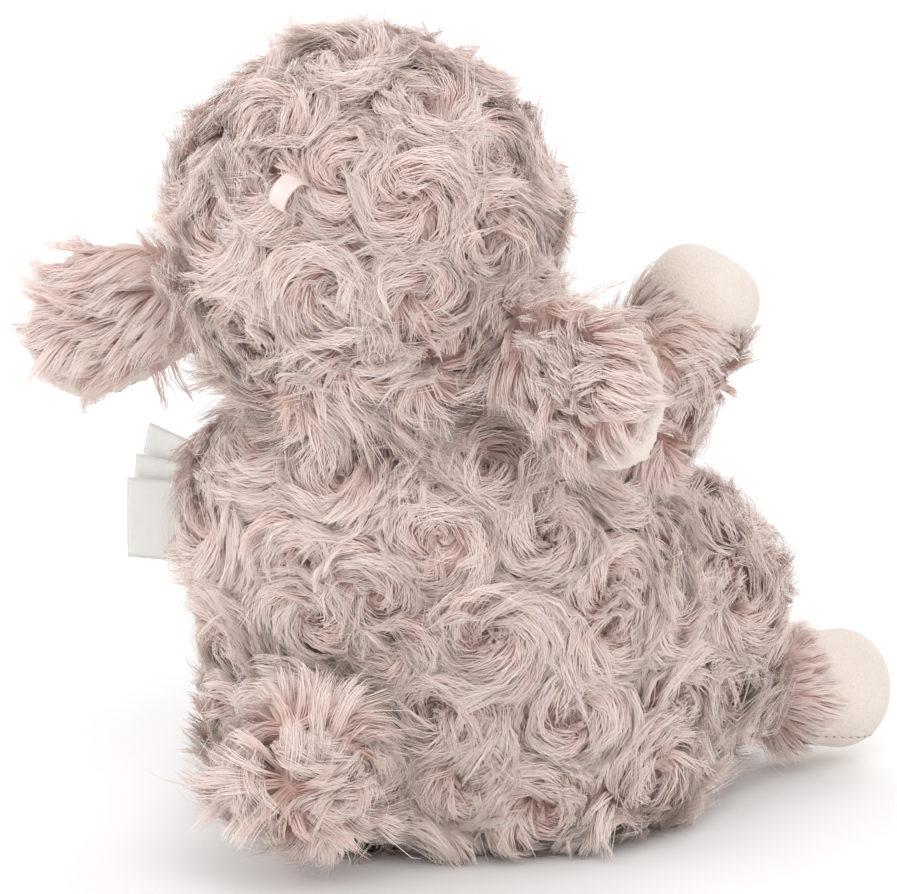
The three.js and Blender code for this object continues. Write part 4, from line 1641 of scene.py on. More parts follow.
@dataclass
class Torso:
    """The body with its haunches, in two pile panels, with its stuffing and pellets."""

    half_width: float = 62.0
    half_depth: float = 55.0
    height: float = 111.0
    seat_cut: float = 0.5
    top_fullness: float = 2.7
    base_fullness: float = 4.5
    lean: float = 39.0
    base_forward: float = 10.0
    seam_back: float = 6.0
    haunch: float = 35.0
    haunch_side: float = 36.0
    haunch_forward: float = 44.0
    haunch_up: float = 42.0
    haunch_half_height: float = 40.0
    inset: float = 3.2
    base_inset: float = -6.0
    base_flare: float = 28.0
    haunch_inset: float = 8.5
    wall: float = 2.2
    pellet_level: float = 19.5
    ground: float = 0.5
    lowest: float = 0.8
    bare_below: float = 0.9
    bare_fade: float = 1.2
    seat_fade: float = 3.0
    waist: float = 46.0
    neck_loft: float = 0.1
    neck_fade: float = 7.0
    base_loft: float = 0.3
    base_fade: float = 16.0
    haunch_rise: float = 1.5
    rosette_room: float = 1.6
    rosette_hidden: float = 0.97
    rosette_turn: int = 4
    rosette_rise: int = 3
    rosette_lowest: int = 6
    rosette_highest: int = 105
    haunch_turn: int = 6
    haunch_lowest: int = -54
    haunch_highest: int = 78
    rosettes: RosetteLayout = RosetteLayout((
        (430, 543), (490, 627), (300, 563), (560, 528), (387, 653), (530, 807), (447, 707), (580, 715),
        (223, 640), (313, 620), (623, 580), (690, 560), (760, 613), (690, 685), (660, 765), (610, 640),
        (600, 830), (740, 720), (375, 590), (470, 770)), 21.0)

    @property
    def middle(self) -> float:
        """The height of the body's middle."""
        return self.height / 2 - self.seat_cut

    def lean_at(self, z: Array | float) -> Array | float:
        """How far back the body's middle is at a height."""
        return self.lean * (z / self.height) ** 2 - self.base_forward

    def swell_at(self, z: float) -> float:
        """How wide the body is.

        Args:
            z: The height.

        Returns:
            Its width there, as a share of its widest.
        """
        share = min(abs(z - self.middle) / (self.height / 2), 1)
        fullness = self.top_fullness if z > self.middle else self.base_fullness
        return (1 - share ** fullness) ** (1 / fullness)

    def middles(self, seats: Seats) -> Array:
        """Where the rosettes of the body and the haunches are.

        Args:
            seats: Middle and radius of each ball that sits in the body, the head's first.

        Returns:
            The rosettes' middles.
        """
        places = []
        heights = range(self.rosette_lowest, self.rosette_highest + 1, self.rosette_rise)
        for around, z in product(range(0, 360, self.rosette_turn), heights):
            turn = math.radians(around)
            wide = self.half_width * self.swell_at(z)
            deep = self.half_depth * self.swell_at(z)
            places.append((wide * math.cos(turn), self.lean_at(z) - deep * math.sin(turn), z))
        on_body = np.array(places)
        kept = [on_body[~self._in_haunch(on_body, Side.LEFT) & ~self._in_haunch(on_body, Side.RIGHT)]]
        rises = range(self.haunch_lowest, self.haunch_highest + 1, self.haunch_turn)
        for side, other in ((Side.RIGHT, Side.LEFT), (Side.LEFT, Side.RIGHT)):
            turns = range(-180, 180, self.haunch_turn)
            away = np.array([toward(side.value * outward, up) for outward, up in product(turns, rises)])
            away /= np.linalg.norm(away / self._haunch_radii(), axis=1, keepdims=True)
            there = away + self._haunch_centre(side)
            above = there[:, 2] > self.rosette_lowest
            kept.append(there[above & ~self._in_body(there) & ~self._in_haunch(there, other)])
        free = np.concatenate(kept)
        for order, (centre, radius) in enumerate(seats):
            room = radius + (self.rosette_room if order else 0.0)
            free = free[np.linalg.norm(free - np.array(centre), axis=1) > room]
        return self.rosettes.middles(free)

    def _haunch_radii(self) -> Array:
        """A haunch's three radii."""
        return np.array([self.haunch, self.haunch, self.haunch_half_height])

    def _haunch_centre(self, side: Side) -> Array:
        """A haunch's middle."""
        return np.array([side.value * self.haunch_side, -self.haunch_forward, self.haunch_up])

    def _in_haunch(self, points: Array, side: Side) -> Array:
        """Which points lie inside a haunch."""
        away = (points - self._haunch_centre(side)) / self._haunch_radii()
        return np.linalg.norm(away, axis=1) < self.rosette_hidden

    def _in_body(self, points: Array) -> Array:
        """Finds what the body hides.

        Args:
            points: The points to test.

        Returns:
            Which of them lie inside the body.
        """
        wide = np.array([max(self.swell_at(z), 1e-9) for z in points[:, 2]]) * self.rosette_hidden
        across = points[:, 0] / (self.half_width * wide)
        along = (points[:, 1] - self.lean_at(points[:, 2])) / (self.half_depth * wide)
        return np.hypot(across, along) < 1

    def _behind(self, points: Array) -> Array:
        """Which points lie behind the side seam."""
        seam = float(self.lean_at(self.middle)) + self.seam_back
        return points[:, 1] > seam + self.lean / self.height * (points[:, 2] - self.middle)

    def skin(self) -> Surface:
        """Shapes the bare body under its pile.

        Returns:
            The skin, with its haunches.
        """
        unit_ball = ball((1, 1, 1), (0, 0, 0), 44)
        x, y, z = unit_ball.points.T
        flat = np.hypot(x, y)
        power = 2 / np.where(z > 0, self.top_fullness, self.base_fullness)
        ring = np.where(flat < 1e-6, 0.0, np.maximum(flat, 1e-9) ** power / np.maximum(flat, 1e-9))
        high = self.middle + (self.height / 2 - self.inset) * np.sign(z) * np.abs(z) ** power
        inset = self.base_inset + (self.inset - self.base_inset) * np.clip(high / self.base_flare, 0, 1)
        points = np.stack([
            x * ring * (self.half_width - inset),
            y * ring * (self.half_depth - inset) + self.lean_at(high), high], axis=1)
        forms = [Surface(points, unit_ball.faces)]
        for side in Side:
            wide = self.haunch - self.haunch_inset
            radii = (wide, wide, self.haunch_half_height - self.haunch_inset + self.haunch_rise)
            forms.append(ball(radii, self._haunch_centre(side)))
        skin = melted(together(forms), voxel=2.2, rounds=6)
        skin.points[:, 2] = np.maximum(skin.points[:, 2], self.lowest)
        return skin

    def make(self, work: Workshop, seats: Seats) -> None:
        """Builds the body's panels and pile.

        Args:
            work: The workshop.
            seats: Middle and radius of each ball that sits in the body.
        """
        skin = self.skin()
        bears = np.ones(len(skin.points))
        for centre, radius in seats:
            far = np.linalg.norm(skin.points - np.array(centre), axis=1)
            bears *= np.clip((far - radius) / self.seat_fade + 0.5, 0, 1)
        bears *= np.clip((skin.points[:, 2] - self.bare_below) / self.bare_fade, 0, 1)
        pattern = RosettePattern()
        whorls = pattern.whorls(skin.points, self.middles(seats), Seed.BODY_TURNS)
        neck = np.linalg.norm(skin.points - np.array(seats[0][0]), axis=1) - seats[0][1]
        loft = whorls.loft(skin.points, *LOFTS, Seed.BODY_LOFT)
        loft *= 1 + self.neck_loft * np.exp(-(neck / self.neck_fade) ** 2)
        loft *= 1 + self.base_loft * np.clip(1 - skin.points[:, 2] / self.base_fade, 0, 1)
        swell = pattern.swell(skin.points, whorls) * bears
        skin.points = skin.points + normals_of(skin) * swell[:, None]
        for centre, radius in seats:
            skin.points = pushed_out(skin.points, centre, radius)
        skin.points[:, 2] = np.maximum(skin.points[:, 2], self.ground)
        rear = self._behind(skin.points)
        for word, inside in (("back", rear), ("belly", ~rear)):
            piece = shell(skin, f"body_{word}_skin", inside, self.wall)
            work.cover(piece, "torso", Slot.PILE, work.palette.backing, f"body_{word}_panel")
        regions = []
        left = skin.points[:, 0] > 0
        upper = skin.points[:, 2] > self.waist
        for side, half in (("left", left), ("right", ~left)):
            for level, band in (("upper", upper), ("lower", ~upper)):
                regions.append((f"back_{side}_{level}", rear & half & band))
                regions.append((f"belly_{side}_{level}", ~rear & half & band))
        pile = Pile(work.palette.pile)
        work.piles(pile, skin, Coat(bears, loft), whorls, "torso", "body_pile", Seed.BODY_PILE, regions)
        filling = shrunk(skin, self.wall + work.wadding_gap)
        filling = sliced(filling, Vector((0, 0, self.pellet_level)), Vector((0, 0, -1)))
        work.stuff(filling, "body_stuffing", "torso")
        work.dress("pellet_bag", work.palette.pellets)
        work.dress("neck_seam_thread", work.palette.seam)


@dataclass
class Head:
    """The head's pile cover and velour face, with eyes, muzzle, nose and mouth."""

    radii: Place = (48.0, 47.0, 50.0)
    inset: float = 5.8
    seam_forward: float = 25.0
    wall: float = 2.0
    seam_overlap: float = 1.5
    seam_sunk: float = 1.9
    seam_ahead: float = 0.6
    muzzle_at: Place = (0.0, -39.0, -13.0)
    muzzle_radii: Place = (19.0, 17.0, 14.0)
    nose_radii: Place = (6.5, 3.4, 4.2)
    nose_up: float = 24.0
    nose_thread: float = 0.62
    nose_rib: float = 0.16
    nose_sunk: float = 0.1
    crease_depth: float = 0.9
    crease_width: float = 2.2
    crease_reach: float = 12.0
    crease_top: float = 4.0
    crease_fade: float = 8.0
    mouth_proud: float = 0.45
    mouth_side: float = 26.0
    mouth_curl: float = 12.0
    mouth_down: float = 24.0
    mouth_stem_from: float = 0.12
    face_step: float = 2.0
    eye_side: float = 24.0
    eye_up: float = 5.0
    eye_radius: float = 4.6
    eye_dome: float = 3.6
    eye_shank: float = 7.0
    eye_shank_radius: float = 1.7
    eye_seat: float = 0.2
    eye_edge: float = 0.3
    lowest_rosette: float = -35.5
    rosettes_behind: float = -20.0
    neck_bare: float = 20.0
    neck_fade: float = 6.0
    skirt_below: float = 18.0
    skirt_fan: float = 0.9
    skirt_spin: float = 0.45
    skirt_loft: float = 0.9
    skirt_tilt: float = 58.0
    skirt_fade: float = 25.0
    rosette_turn: int = 4
    rosette_from: int = -56
    rosette_to: int = 88
    rosettes: RosetteLayout = RosetteLayout((
        (328, 295), (427, 317), (213, 247), (347, 180), (270, 117), (433, 100), (507, 233), (500, 150),
        (347, 55), (187, 175), (420, 205), (290, 400), (377, 423), (183, 320), (497, 383), (265, 190)), 20.0)

    @property
    def centre(self) -> Array:
        """The head's middle, where it nods."""
        return joint_place("head_nod")

    def middles(self) -> Array:
        """Chooses where the head's rosettes are.

        Returns:
            The rosettes' middles.
        """
        turns = range(0, 360, self.rosette_turn)
        rises = range(self.rosette_from, self.rosette_to + 1, self.rosette_turn)
        away = np.array([toward(around, up) for around, up in product(turns, rises)])
        away /= np.linalg.norm(away / np.array(self.radii), axis=1, keepdims=True)
        chosen = self.rosettes.middles(away[away[:, 1] > self.rosettes_behind] + self.centre)
        return chosen[chosen[:, 2] > self.centre[2] + self.lowest_rosette]

    def make(self, work: Workshop) -> None:
        """Builds the head.

        Args:
            work: The workshop.
        """
        radii = tuple(radius - self.inset for radius in self.radii)
        skin = melted(ball(radii, self.centre), voxel=2.0, rounds=2)
        away = skin.points - self.centre
        tilt = np.degrees(np.arccos(np.clip(-away[:, 2] / np.linalg.norm(away, axis=1), -1, 1)))
        bears = np.clip((tilt - self.neck_bare) / self.neck_fade, 0, 1)
        bears = bears * (away[:, 1] > -self.seam_forward + self.seam_overlap)
        pattern = RosettePattern()
        whorls = pattern.whorls(skin.points, self.middles(), Seed.HEAD_TURNS)
        skirt = whorls.places[:, 2] < self.centre[2] - self.skirt_below
        whorls.fan[skirt] = self.skirt_fan
        whorls.spin[skirt] *= self.skirt_spin
        loft = whorls.loft(skin.points, *LOFTS, Seed.HEAD_LOFT)
        loft *= 1 + self.skirt_loft * np.clip((self.skirt_tilt - tilt) / self.skirt_fade, 0, 1)
        swell = pattern.swell(skin.points, whorls) * bears
        skin.points = skin.points + normals_of(skin) * swell[:, None]
        inside = skin.points[:, 1] - self.centre[1] > -self.seam_forward
        piece = shell(skin, "head_skin", inside, self.wall)
        work.cover(piece, "head", Slot.PILE, work.palette.backing, "head_fur_cover")
        right = skin.points[:, 0] < 0
        crown = skin.points[:, 2] > self.centre[2]
        pile = Pile(work.palette.pile, free=0.5)
        regions = [
            ("left_upper", ~right & crown), ("left_lower", ~right & ~crown),
            ("right_upper", right & crown), ("right_lower", right & ~crown)]
        work.piles(pile, skin, Coat(bears, loft), whorls, "head", "head_pile", Seed.HEAD_PILE, regions)
        self._face(work)
        work.stuff(shrunk(skin, self.wall + work.wadding_gap), "head_stuffing", "head")
        for side in Side:
            self._eye(work, side)

    def _eye(self, work: Workshop, side: Side) -> None:
        """Builds a domed eye on its shank.

        Args:
            work: The workshop.
            side: The side that it is on.
        """
        radii = np.array(self.radii) - self.face_step
        way = toward(side.value * self.eye_side, self.eye_up)
        seat = way / np.linalg.norm(way / radii)
        shank = self.eye_shank_radius
        profile = [(0.0, -self.eye_shank), (shank, -self.eye_shank), (shank, self.eye_seat)]
        profile.append((self.eye_radius - self.eye_edge, self.eye_seat))
        for turn in np.linspace(0, math.pi / 2, 16):
            high = self.eye_seat + self.eye_edge + (self.eye_dome - self.eye_seat) * math.sin(turn)
            profile.append((max(self.eye_radius * math.cos(turn), 0.0), high))
        profile[-1] = (0.0, self.eye_dome + self.eye_edge)
        eye = stood(lathe(profile, 56), seat + self.centre, unit(seat / radii ** 2))
        piece = eye.object(f"{side.word}_eye_dome")
        work.place(piece, "head", Slot.EYE, work.palette.eye)
        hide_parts(f"{side.word}_eye")
        work.dress(f"{side.word}_eye_washer", work.palette.washer)

    def _face(self, work: Workshop) -> None:
        """Builds the velour face and muzzle.

        Args:
            work: The workshop.
        """
        radii = tuple(radius - self.face_step for radius in self.radii)
        whole = melted(ball(radii, self.centre), voxel=1.8, rounds=2)
        inside = whole.points[:, 1] - self.centre[1] < -self.seam_forward + self.seam_overlap
        face = shell(whole, "face_velour", inside, self.wall)
        work.cover(face, "head", Slot.VELOUR, work.palette.velour, "face_panel")
        share = math.sqrt(1 - (self.seam_forward / self.radii[1]) ** 2)
        wide = (self.radii[0] - self.seam_sunk) * share
        high = (self.radii[2] - self.seam_sunk) * share
        seam = []
        for turn in np.linspace(0, 2 * math.pi, 180):
            seam.append((wide * math.cos(turn), -self.seam_forward - self.seam_ahead, high * math.sin(turn)))
        row = work.stitches.sew(
            np.array(seam) + self.centre, "face_seam_stitches", work.palette.cream_thread, spacing=2.6,
            length=2.1, thickness=0.7)
        work.place(row, "head", Slot.SEAM)
        self._muzzle(work)

    def on_muzzle(self, extra: float, sideways: float, upwards: float) -> Array:
        """A place on the muzzle, or off it by a distance."""
        way = toward(sideways, upwards) * (np.array(self.muzzle_radii) + extra)
        return self.centre + np.array(self.muzzle_at) + way

    def _muzzle(self, work: Workshop) -> None:
        """Builds the muzzle, the satin-stitched nose and the mouth's stitches.

        Args:
            work: The workshop.
        """
        muzzle = ball(self.muzzle_radii, self.centre + np.array(self.muzzle_at), 56)
        x, y, z = (muzzle.points - self.centre - np.array(self.muzzle_at)).T
        crease = np.exp(-(x / self.crease_width) ** 2) * np.clip(-y / self.crease_reach, 0, 1)
        crease *= np.clip((self.crease_top - z) / self.crease_fade, 0, 1)
        muzzle.points = muzzle.points - normals_of(muzzle) * (self.crease_depth * crease)[:, None]
        piece = muzzle.object("muzzle_velour")
        work.cover(piece, "head", Slot.VELOUR, work.palette.velour, "muzzle")
        nose = ball(self.nose_radii, self.on_muzzle(0.0, 0.0, self.nose_up), 96)
        across = nose.points[:, 0]
        rib = np.abs(np.sin(across * math.pi / self.nose_thread))
        nose.points = nose.points + normals_of(nose) * (self.nose_rib * rib - self.nose_sunk)[:, None]
        pad = nose.object("nose_satin_stitch")
        work.place(pad, "head", Slot.NOSE, work.palette.nose)
        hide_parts("nose")
        smile = []
        for share in np.linspace(-1, 1, 40):
            down = self.mouth_curl * share ** 2 - self.mouth_down
            smile.append(self.on_muzzle(self.mouth_proud, self.mouth_side * share, down))
        stem = []
        for share in np.linspace(self.mouth_stem_from, 1, 16):
            stem.append(self.on_muzzle(self.mouth_proud, 0, -self.mouth_down * share))
        rows = []
        for name, line in (("mouth_smile_stitches", smile), ("mouth_stem_stitches", stem)):
            rows.append(work.stitches.sew(
                np.array(line), name, work.palette.nose, spacing=1.5, length=1.9, thickness=1.0))
        for row in rows:
            work.place(row, "head", Slot.NOSE)
        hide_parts("mouth_stitch")


@dataclass
class Tail:
    """The round tail, parted in a whorl at its back."""

    root: float = 15.0
    puff: float = 21.0
    puff_at: float = 17.0
    inset: float = 7.0
    tipped: float = 0.15
    fade: float = 4.0
    wall: float = 2.0
    lofts: tuple[float, float] = (0.85, 1.25)
    partings: tuple[tuple[float, float], ...] = ((292, 788), (338, 748), (284, 733), (348, 796), (306, 822))
    spins: tuple[float, ...] = (0.12, -0.5, 0.5, 0.5, -0.5)
    fans: tuple[float, ...] = (1.0, 0.8, 0.9, 0.8, 0.9)

    @property
    def hinge(self) -> Array:
        """Where the tail wags."""
        return joint_place("tail_wag")

    def make(self, work: Workshop) -> None:
        """Builds the tail.

        Args:
            work: The workshop.
        """
        neck = self.root - self.inset
        puff = self.puff - self.inset
        profile = [(0.0, -neck)]
        for turn in np.radians(np.linspace(-70, -15, 5)):
            profile.append((neck * math.cos(turn), neck * math.sin(turn)))
        for turn in np.radians(np.linspace(-35, 90, 15)):
            profile.append((max(puff * math.cos(turn), 0.0), self.puff_at + puff * math.sin(turn)))
        form = stood(lathe(profile, 40), self.hinge, (0, 1, self.tipped))
        skin = melted(form, voxel=1.6, rounds=3)
        bears = np.clip((skin.points[:, 1] - self.hinge[1]) / self.fade, 0, 1)
        middles = work.seen(skin, self.partings)
        whorls = Whorls(middles, np.array(self.spins[:len(middles)]), np.array(self.fans[:len(middles)]))
        loft = whorls.loft(skin.points, *self.lofts, Seed.TAIL_LOFT)
        piece = skin.object("tail_skin")
        work.cover(piece, "tail", Slot.PILE, work.palette.backing, "tail_cover")
        pile = Pile(
            work.palette.pile, strands=5.4e6, length=0.0075, lift=0.009, tufts=7.0e4, draw=0.35, bunch=0.14,
            sway=0.6, free=0.7)
        work.piles(pile, skin, Coat(bears, loft), whorls, "tail", "tail_pile", Seed.TAIL_PILE)
        work.stuff(shrunk(skin, self.wall), "tail_stuffing", "tail")


@dataclass
class Limb:
    """An arm or a leg: a pile sleeve from a round root, and a cream hoof."""

    kind: LimbKind
    side: Side
    outward: float
    raised: float
    root: float
    wrist: float
    sleeve: float
    hoof: float
    length: float
    sole: float = 0.0
    inset: float = 3.0
    pile_length: float = 0.010
    cuff: float = 0.3
    covered: float = 4.0
    fade: float = 3.0
    facing: float = 0.6
    parting: float = 8.0
    swell: float = 0.5
    rings: tuple[tuple[float, float], ...] = ((0.18, 20), (0.62, 80))
    cuff_fade: float = 9.0
    wall: float = 2.0
    tuck: float = 3.0
    dome: float = 0.75
    blunt: float = 0.7
    seam_gap: float = 0.15
    seed_step: int = 17

    @property
    def body(self) -> str:
        """The body that the limb is."""
        return f"{self.kind.word}_{self.side.word}"

    @property
    def joint(self) -> Array:
        """Where the limb turns."""
        return joint_place(f"{self.body}_{self.kind.value}")

    @property
    def along(self) -> Array:
        """The way from the root to the hoof."""
        return toward(self.side.value * self.outward, self.raised)

    def middles(self) -> Array:
        """Sets the sleeve's whorls: three round it near the root and three nearer the cuff.

        Returns:
            The whorls' middles.
        """
        way = self.along
        across = unit(np.cross(way, np.array([0.0, 0.0, 1.0])))
        over = np.cross(way, across)
        places = []
        for far, start in self.rings:
            for turn in np.radians(np.array([0, 120, 240]) + start):
                ring = (across * math.cos(turn) + over * math.sin(turn)) * self.root
                places.append(self.joint + way * (far * self.sleeve) + ring)
        return np.array(places)

    def make(self, work: Workshop) -> None:
        """Builds the limb.

        Args:
            work: The workshop.
        """
        self._sleeve(work)
        self._hoof(work)

    def _sleeve(self, work: Workshop) -> None:
        """Builds the sleeve and its pile.

        Args:
            work: The workshop.
        """
        ring = self.root - self.inset
        wrist = self.wrist - self.inset
        turns = np.radians(range(-90, 1, 10))
        profile = [(ring * math.cos(turn), ring * math.sin(turn)) for turn in turns]
        profile[0] = (0.0, -ring)
        for share in np.linspace(0.2, 1.0, 8):
            profile.append((ring + (wrist - ring) * share, self.sleeve * share))
        profile += [(wrist * 0.6, self.sleeve + 0.6), (0.0, self.sleeve + 0.6)]
        skin = melted(stood(lathe(profile, 36), self.joint, self.along), voxel=1.5, rounds=2)
        way = self.along
        far = (skin.points - self.joint) @ way
        out = normals_of(skin)
        bears = np.clip((far + self.covered) / self.fade, 0, 1) * (out @ way < self.facing)
        start = self.joint - way * self.parting
        whorls = Whorls(start[None, :], np.array([0.0]), np.array([1.0]))
        if self.kind is LimbKind.ARM:
            pattern = RosettePattern(fan=0.8, spin=0.5)
            whorls = pattern.whorls(skin.points, self.middles(), Seed.ARM_TURNS)
            swell = pattern.swell(skin.points, whorls) * bears
            skin.points = skin.points + out * swell[:, None] * self.swell
        piece = skin.object(f"{self.body}_skin")
        work.cover(piece, self.body, Slot.PILE, work.palette.backing, f"{self.body}_sleeve")
        work.stuff(shrunk(skin, self.wall), f"{self.body}_stuffing", self.body)
        loft = np.clip((self.sleeve - far) / self.cuff_fade, self.cuff, 1)
        pile = Pile(work.palette.pile, length=self.pile_length, lift=0.0055, free=0.6)
        seed = Seed.LIMB_PILE + self.seed_step * self.side.value
        work.piles(pile, skin, Coat(bears, loft), whorls, self.body, f"{self.body}_pile", seed)

    def _hoof(self, work: Workshop) -> None:
        """Builds the velour hoof.

        Args:
            work: The workshop.
        """
        tucked = self.sleeve - self.tuck
        profile = [(0.0, tucked), (self.hoof * 0.8, tucked), (self.hoof * 0.93, self.sleeve)]
        dome = self.dome * self.hoof
        for turn in np.radians(np.linspace(0, 90, 15)):
            wide = max(math.cos(turn), 0.0) ** self.blunt * self.hoof
            profile.append((wide, self.length - dome + dome * math.sin(turn)))
        profile[-1] = (0.0, self.length)
        whole = melted(stood(lathe(profile, 48), self.joint, self.along), voxel=1.0, rounds=4)
        velour = work.palette.velour
        if not self.sole:
            piece = whole.object(f"{self.body}_hoof_velour")
            work.cover(piece, self.body, Slot.VELOUR, velour, f"{self.body}_hoof")
            return
        way = Vector(self.along)
        down = Vector((0, 0, -1))
        down = (down - way * down.dot(way)).normalized()
        seam = Vector(self.joint) + down * self.sole
        hoof = sliced(whole, seam - down * self.seam_gap, down).object(f"{self.body}_hoof_velour")
        sole = sliced(whole, seam + down * self.seam_gap, -down).object(f"{self.body}_sole_velour")
        for piece, word, finish in ((hoof, "hoof", velour), (sole, "sole", work.palette.sole)):
            work.cover(piece, self.body, Slot.VELOUR, finish, f"{self.body}_{word}")
        self._sole_stitches(work, whole, seam, down)

    def _sole_stitches(self, work: Workshop, whole: Surface, seam: Vector, down: Vector) -> None:
        """Sews the sole's edge to the hoof.

        Args:
            work: The workshop.
            whole: Hoof and sole in one.
            seam: A place on the seam.
            down: The way that the sole faces.
        """
        tree = BVHTree.FromPolygons([tuple(p) for p in whole.points], whole.faces)
        way = Vector(self.along)
        across = way.cross(down)
        middle = seam + way * (self.sleeve + self.length) / 2
        line = []
        for turn in np.linspace(0, 2 * math.pi, 73):
            out = way * math.cos(turn) + across * math.sin(turn)
            hit = tree.ray_cast(middle + out * 60, -out)[0]
            if hit is not None and (hit - Vector(self.joint)).dot(way) > self.sleeve + 1:
                line.append(np.array(hit + out * 0.1))
        offsets = [Vector(place) - middle for place in line]
        order = np.argsort([math.atan2(offset.dot(across), offset.dot(way)) for offset in offsets])
        ring = np.array([line[i] for i in order])
        row = work.stitches.sew(
            ring, f"{self.body}_sole_stitches", work.palette.cream_thread, spacing=2.2, length=1.7,
            thickness=0.6)
        work.place(row, self.body, Slot.SEAM)


@dataclass
class Ear:
    """A drooping ear: pile on its back and a cream lining in front."""

    side: Side
    sweep: float = 12.0
    droop: float = 13.0
    length: float = 38.0
    half_width: float = 17.0
    root_half_width: float = 12.0
    widest: float = 21.0
    pile: float = 6.0
    lining: float = 2.6
    gap: float = 0.2
    rim: float = 1.4
    hang: float = 1.6
    sag: float = 5.0
    trim: float = 0.35
    lofts: tuple[float, float] = (0.8, 1.4)
    root_in: float = 4.0
    root_end: float = 4.5
    cup: float = 3.0
    blunt: float = 0.7
    rows: int = 26
    around: int = 16
    crowded: float = 1.7
    parting: Place = (-26.0, 3.0, 8.0)
    clumps_along: tuple[float, ...] = (0, 9, 18, 27, 35)
    clumps_up: tuple[float, ...] = (-15, -6, 3, 12)
    clumps_behind: float = 4.0
    edge_fade: float = 13.0
    fullest: float = 1.15

    @property
    def body(self) -> str:
        """The body that the ear is."""
        return f"ear_{self.side.word}"

    def half_at(self, along: float) -> float:
        """Half the ear's width.

        Args:
            along: The distance from its root.

        Returns:
            Half the width there.
        """
        if along < self.widest:
            swell = math.sin(max(along, 0) / self.widest * math.pi / 2)
            return self.root_half_width + (self.half_width - self.root_half_width) * swell
        share = (along - self.widest) / (self.length - self.widest)
        return self.half_width * math.sqrt(max(1 - share ** 2, 0))

    def leaf(self, low: float, high: float, grow: float) -> Surface:
        """A padded leaf in the ear's own frame.

        Args:
            low: Its front face.
            high: Its back face.
            grow: How much larger than the ear it is.

        Returns:
            The leaf, placed on the head.
        """
        points: list[Place] = []
        around = self.around
        thick = (high - low) / 2
        middle = (high + low) / 2
        stations = [-self.root_in]
        for row in range(self.rows):
            stations.append(self.length * (1 - (1 - row / self.rows) ** self.crowded))
        for station in stations:
            half = max(self.half_at(station), 0.5) * grow
            share = max(station, 0) / self.length
            drop = self.sag * share ** 2
            cup = self.cup * share ** 1.5
            for k in range(around):
                turn = 2 * math.pi * k / around
                across = math.copysign(abs(math.cos(turn)) ** self.blunt, math.cos(turn))
                deep = math.copysign(abs(math.sin(turn)) ** self.blunt, math.sin(turn))
                points.append((
                    station * grow, middle + thick * deep - cup * across ** 2, half * across - drop))
        points.append((-self.root_end, middle, 0.0))
        points.append((self.length * grow, middle, -self.sag))
        faces: list[tuple[int, ...]] = []
        for ring in range(len(stations) - 1):
            for k in range(around):
                a = ring * around + k
                b = ring * around + (k + 1) % around
                faces.append((a, b, b + around, a + around))
        last = (len(stations) - 1) * around
        for k in range(around):
            faces.append(((k + 1) % around, k, len(points) - 2))
            faces.append((last + k, last + (k + 1) % around, len(points) - 1))
        return Surface(self._placed(np.array(points)), faces)

    def _placed(self, local: Array) -> Array:
        """Moves points from the ear's own frame to the head.

        Args:
            local: Points along the ear, behind it and up it.

        Returns:
            The points in the goat's frame.
        """
        along = toward(90 + self.sweep, -self.droop)
        upright = unit(np.array(joint_of("ear_left_flap")["axis"]))
        rear = np.cross(upright, along)
        world = joint_place("ear_left_flap") + local @ np.array([along, rear, upright])
        return world * np.array([self.side.value, 1, 1])

    def make(self, work: Workshop) -> None:
        """Builds the ear.

        Args:
            work: The workshop.
        """
        skin = melted(self.leaf(0.5, self.pile - 1.5, 0.9), voxel=1.3, rounds=2)
        origin = self._placed(np.array([[0.0, 0.0, 0.0]]))[0]
        axes = self._placed(np.eye(3)) - origin
        local = (skin.points - origin) @ axes.T
        out = normals_of(skin) @ axes.T
        bears = np.clip((out[:, 1] + 0.35) / 0.3, 0, 1) * np.clip((local[:, 0] + 5) / 2, 0, 1)
        half = np.array([self.half_at(float(x)) for x in local[:, 0]])
        drop = self.sag * (np.clip(local[:, 0], 0, None) / self.length) ** 2
        edge = np.maximum(local[:, 2] + drop + half, (self.length - local[:, 0]) * 0.9)
        loft = np.clip(edge / self.edge_fade, self.trim, self.fullest)
        start = self._placed(np.array([self.parting]))
        whorls = Whorls(start, np.array([0.0]), np.array([1.0]))
        grid = product(self.clumps_along, self.clumps_up)
        spots = np.array([(x, self.clumps_behind, z) for x, z in grid])
        clumps = Whorls(self._placed(spots), np.zeros(len(spots)), np.ones(len(spots)))
        loft *= clumps.loft(skin.points, *self.lofts, Seed.EAR_LOFT)
        back = skin.object(f"{self.body}_skin")
        work.cover(back, self.body, Slot.PILE, work.palette.backing, f"{self.body}_back")
        pile = Pile(
            work.palette.pile, length=0.0082, lift=0.0064, tufts=5.0e4, bunch=0.28, sway=0.85, free=0.7)
        seed = Seed.EAR_PILE + self.side.value
        work.piles(pile, skin, Coat(bears, loft), whorls, self.body, f"{self.body}_pile", seed)
        leaf = self.leaf(-self.lining - self.gap, -self.gap, 1.0 + self.rim / self.half_width)
        inner = melted(leaf, voxel=1.1, rounds=2)
        inner.points = inner.points - axes[2] * self.hang
        lining = inner.object(f"{self.body}_lining_velour")
        work.cover(lining, self.body, Slot.VELOUR, work.palette.velour, f"{self.body}_lining")


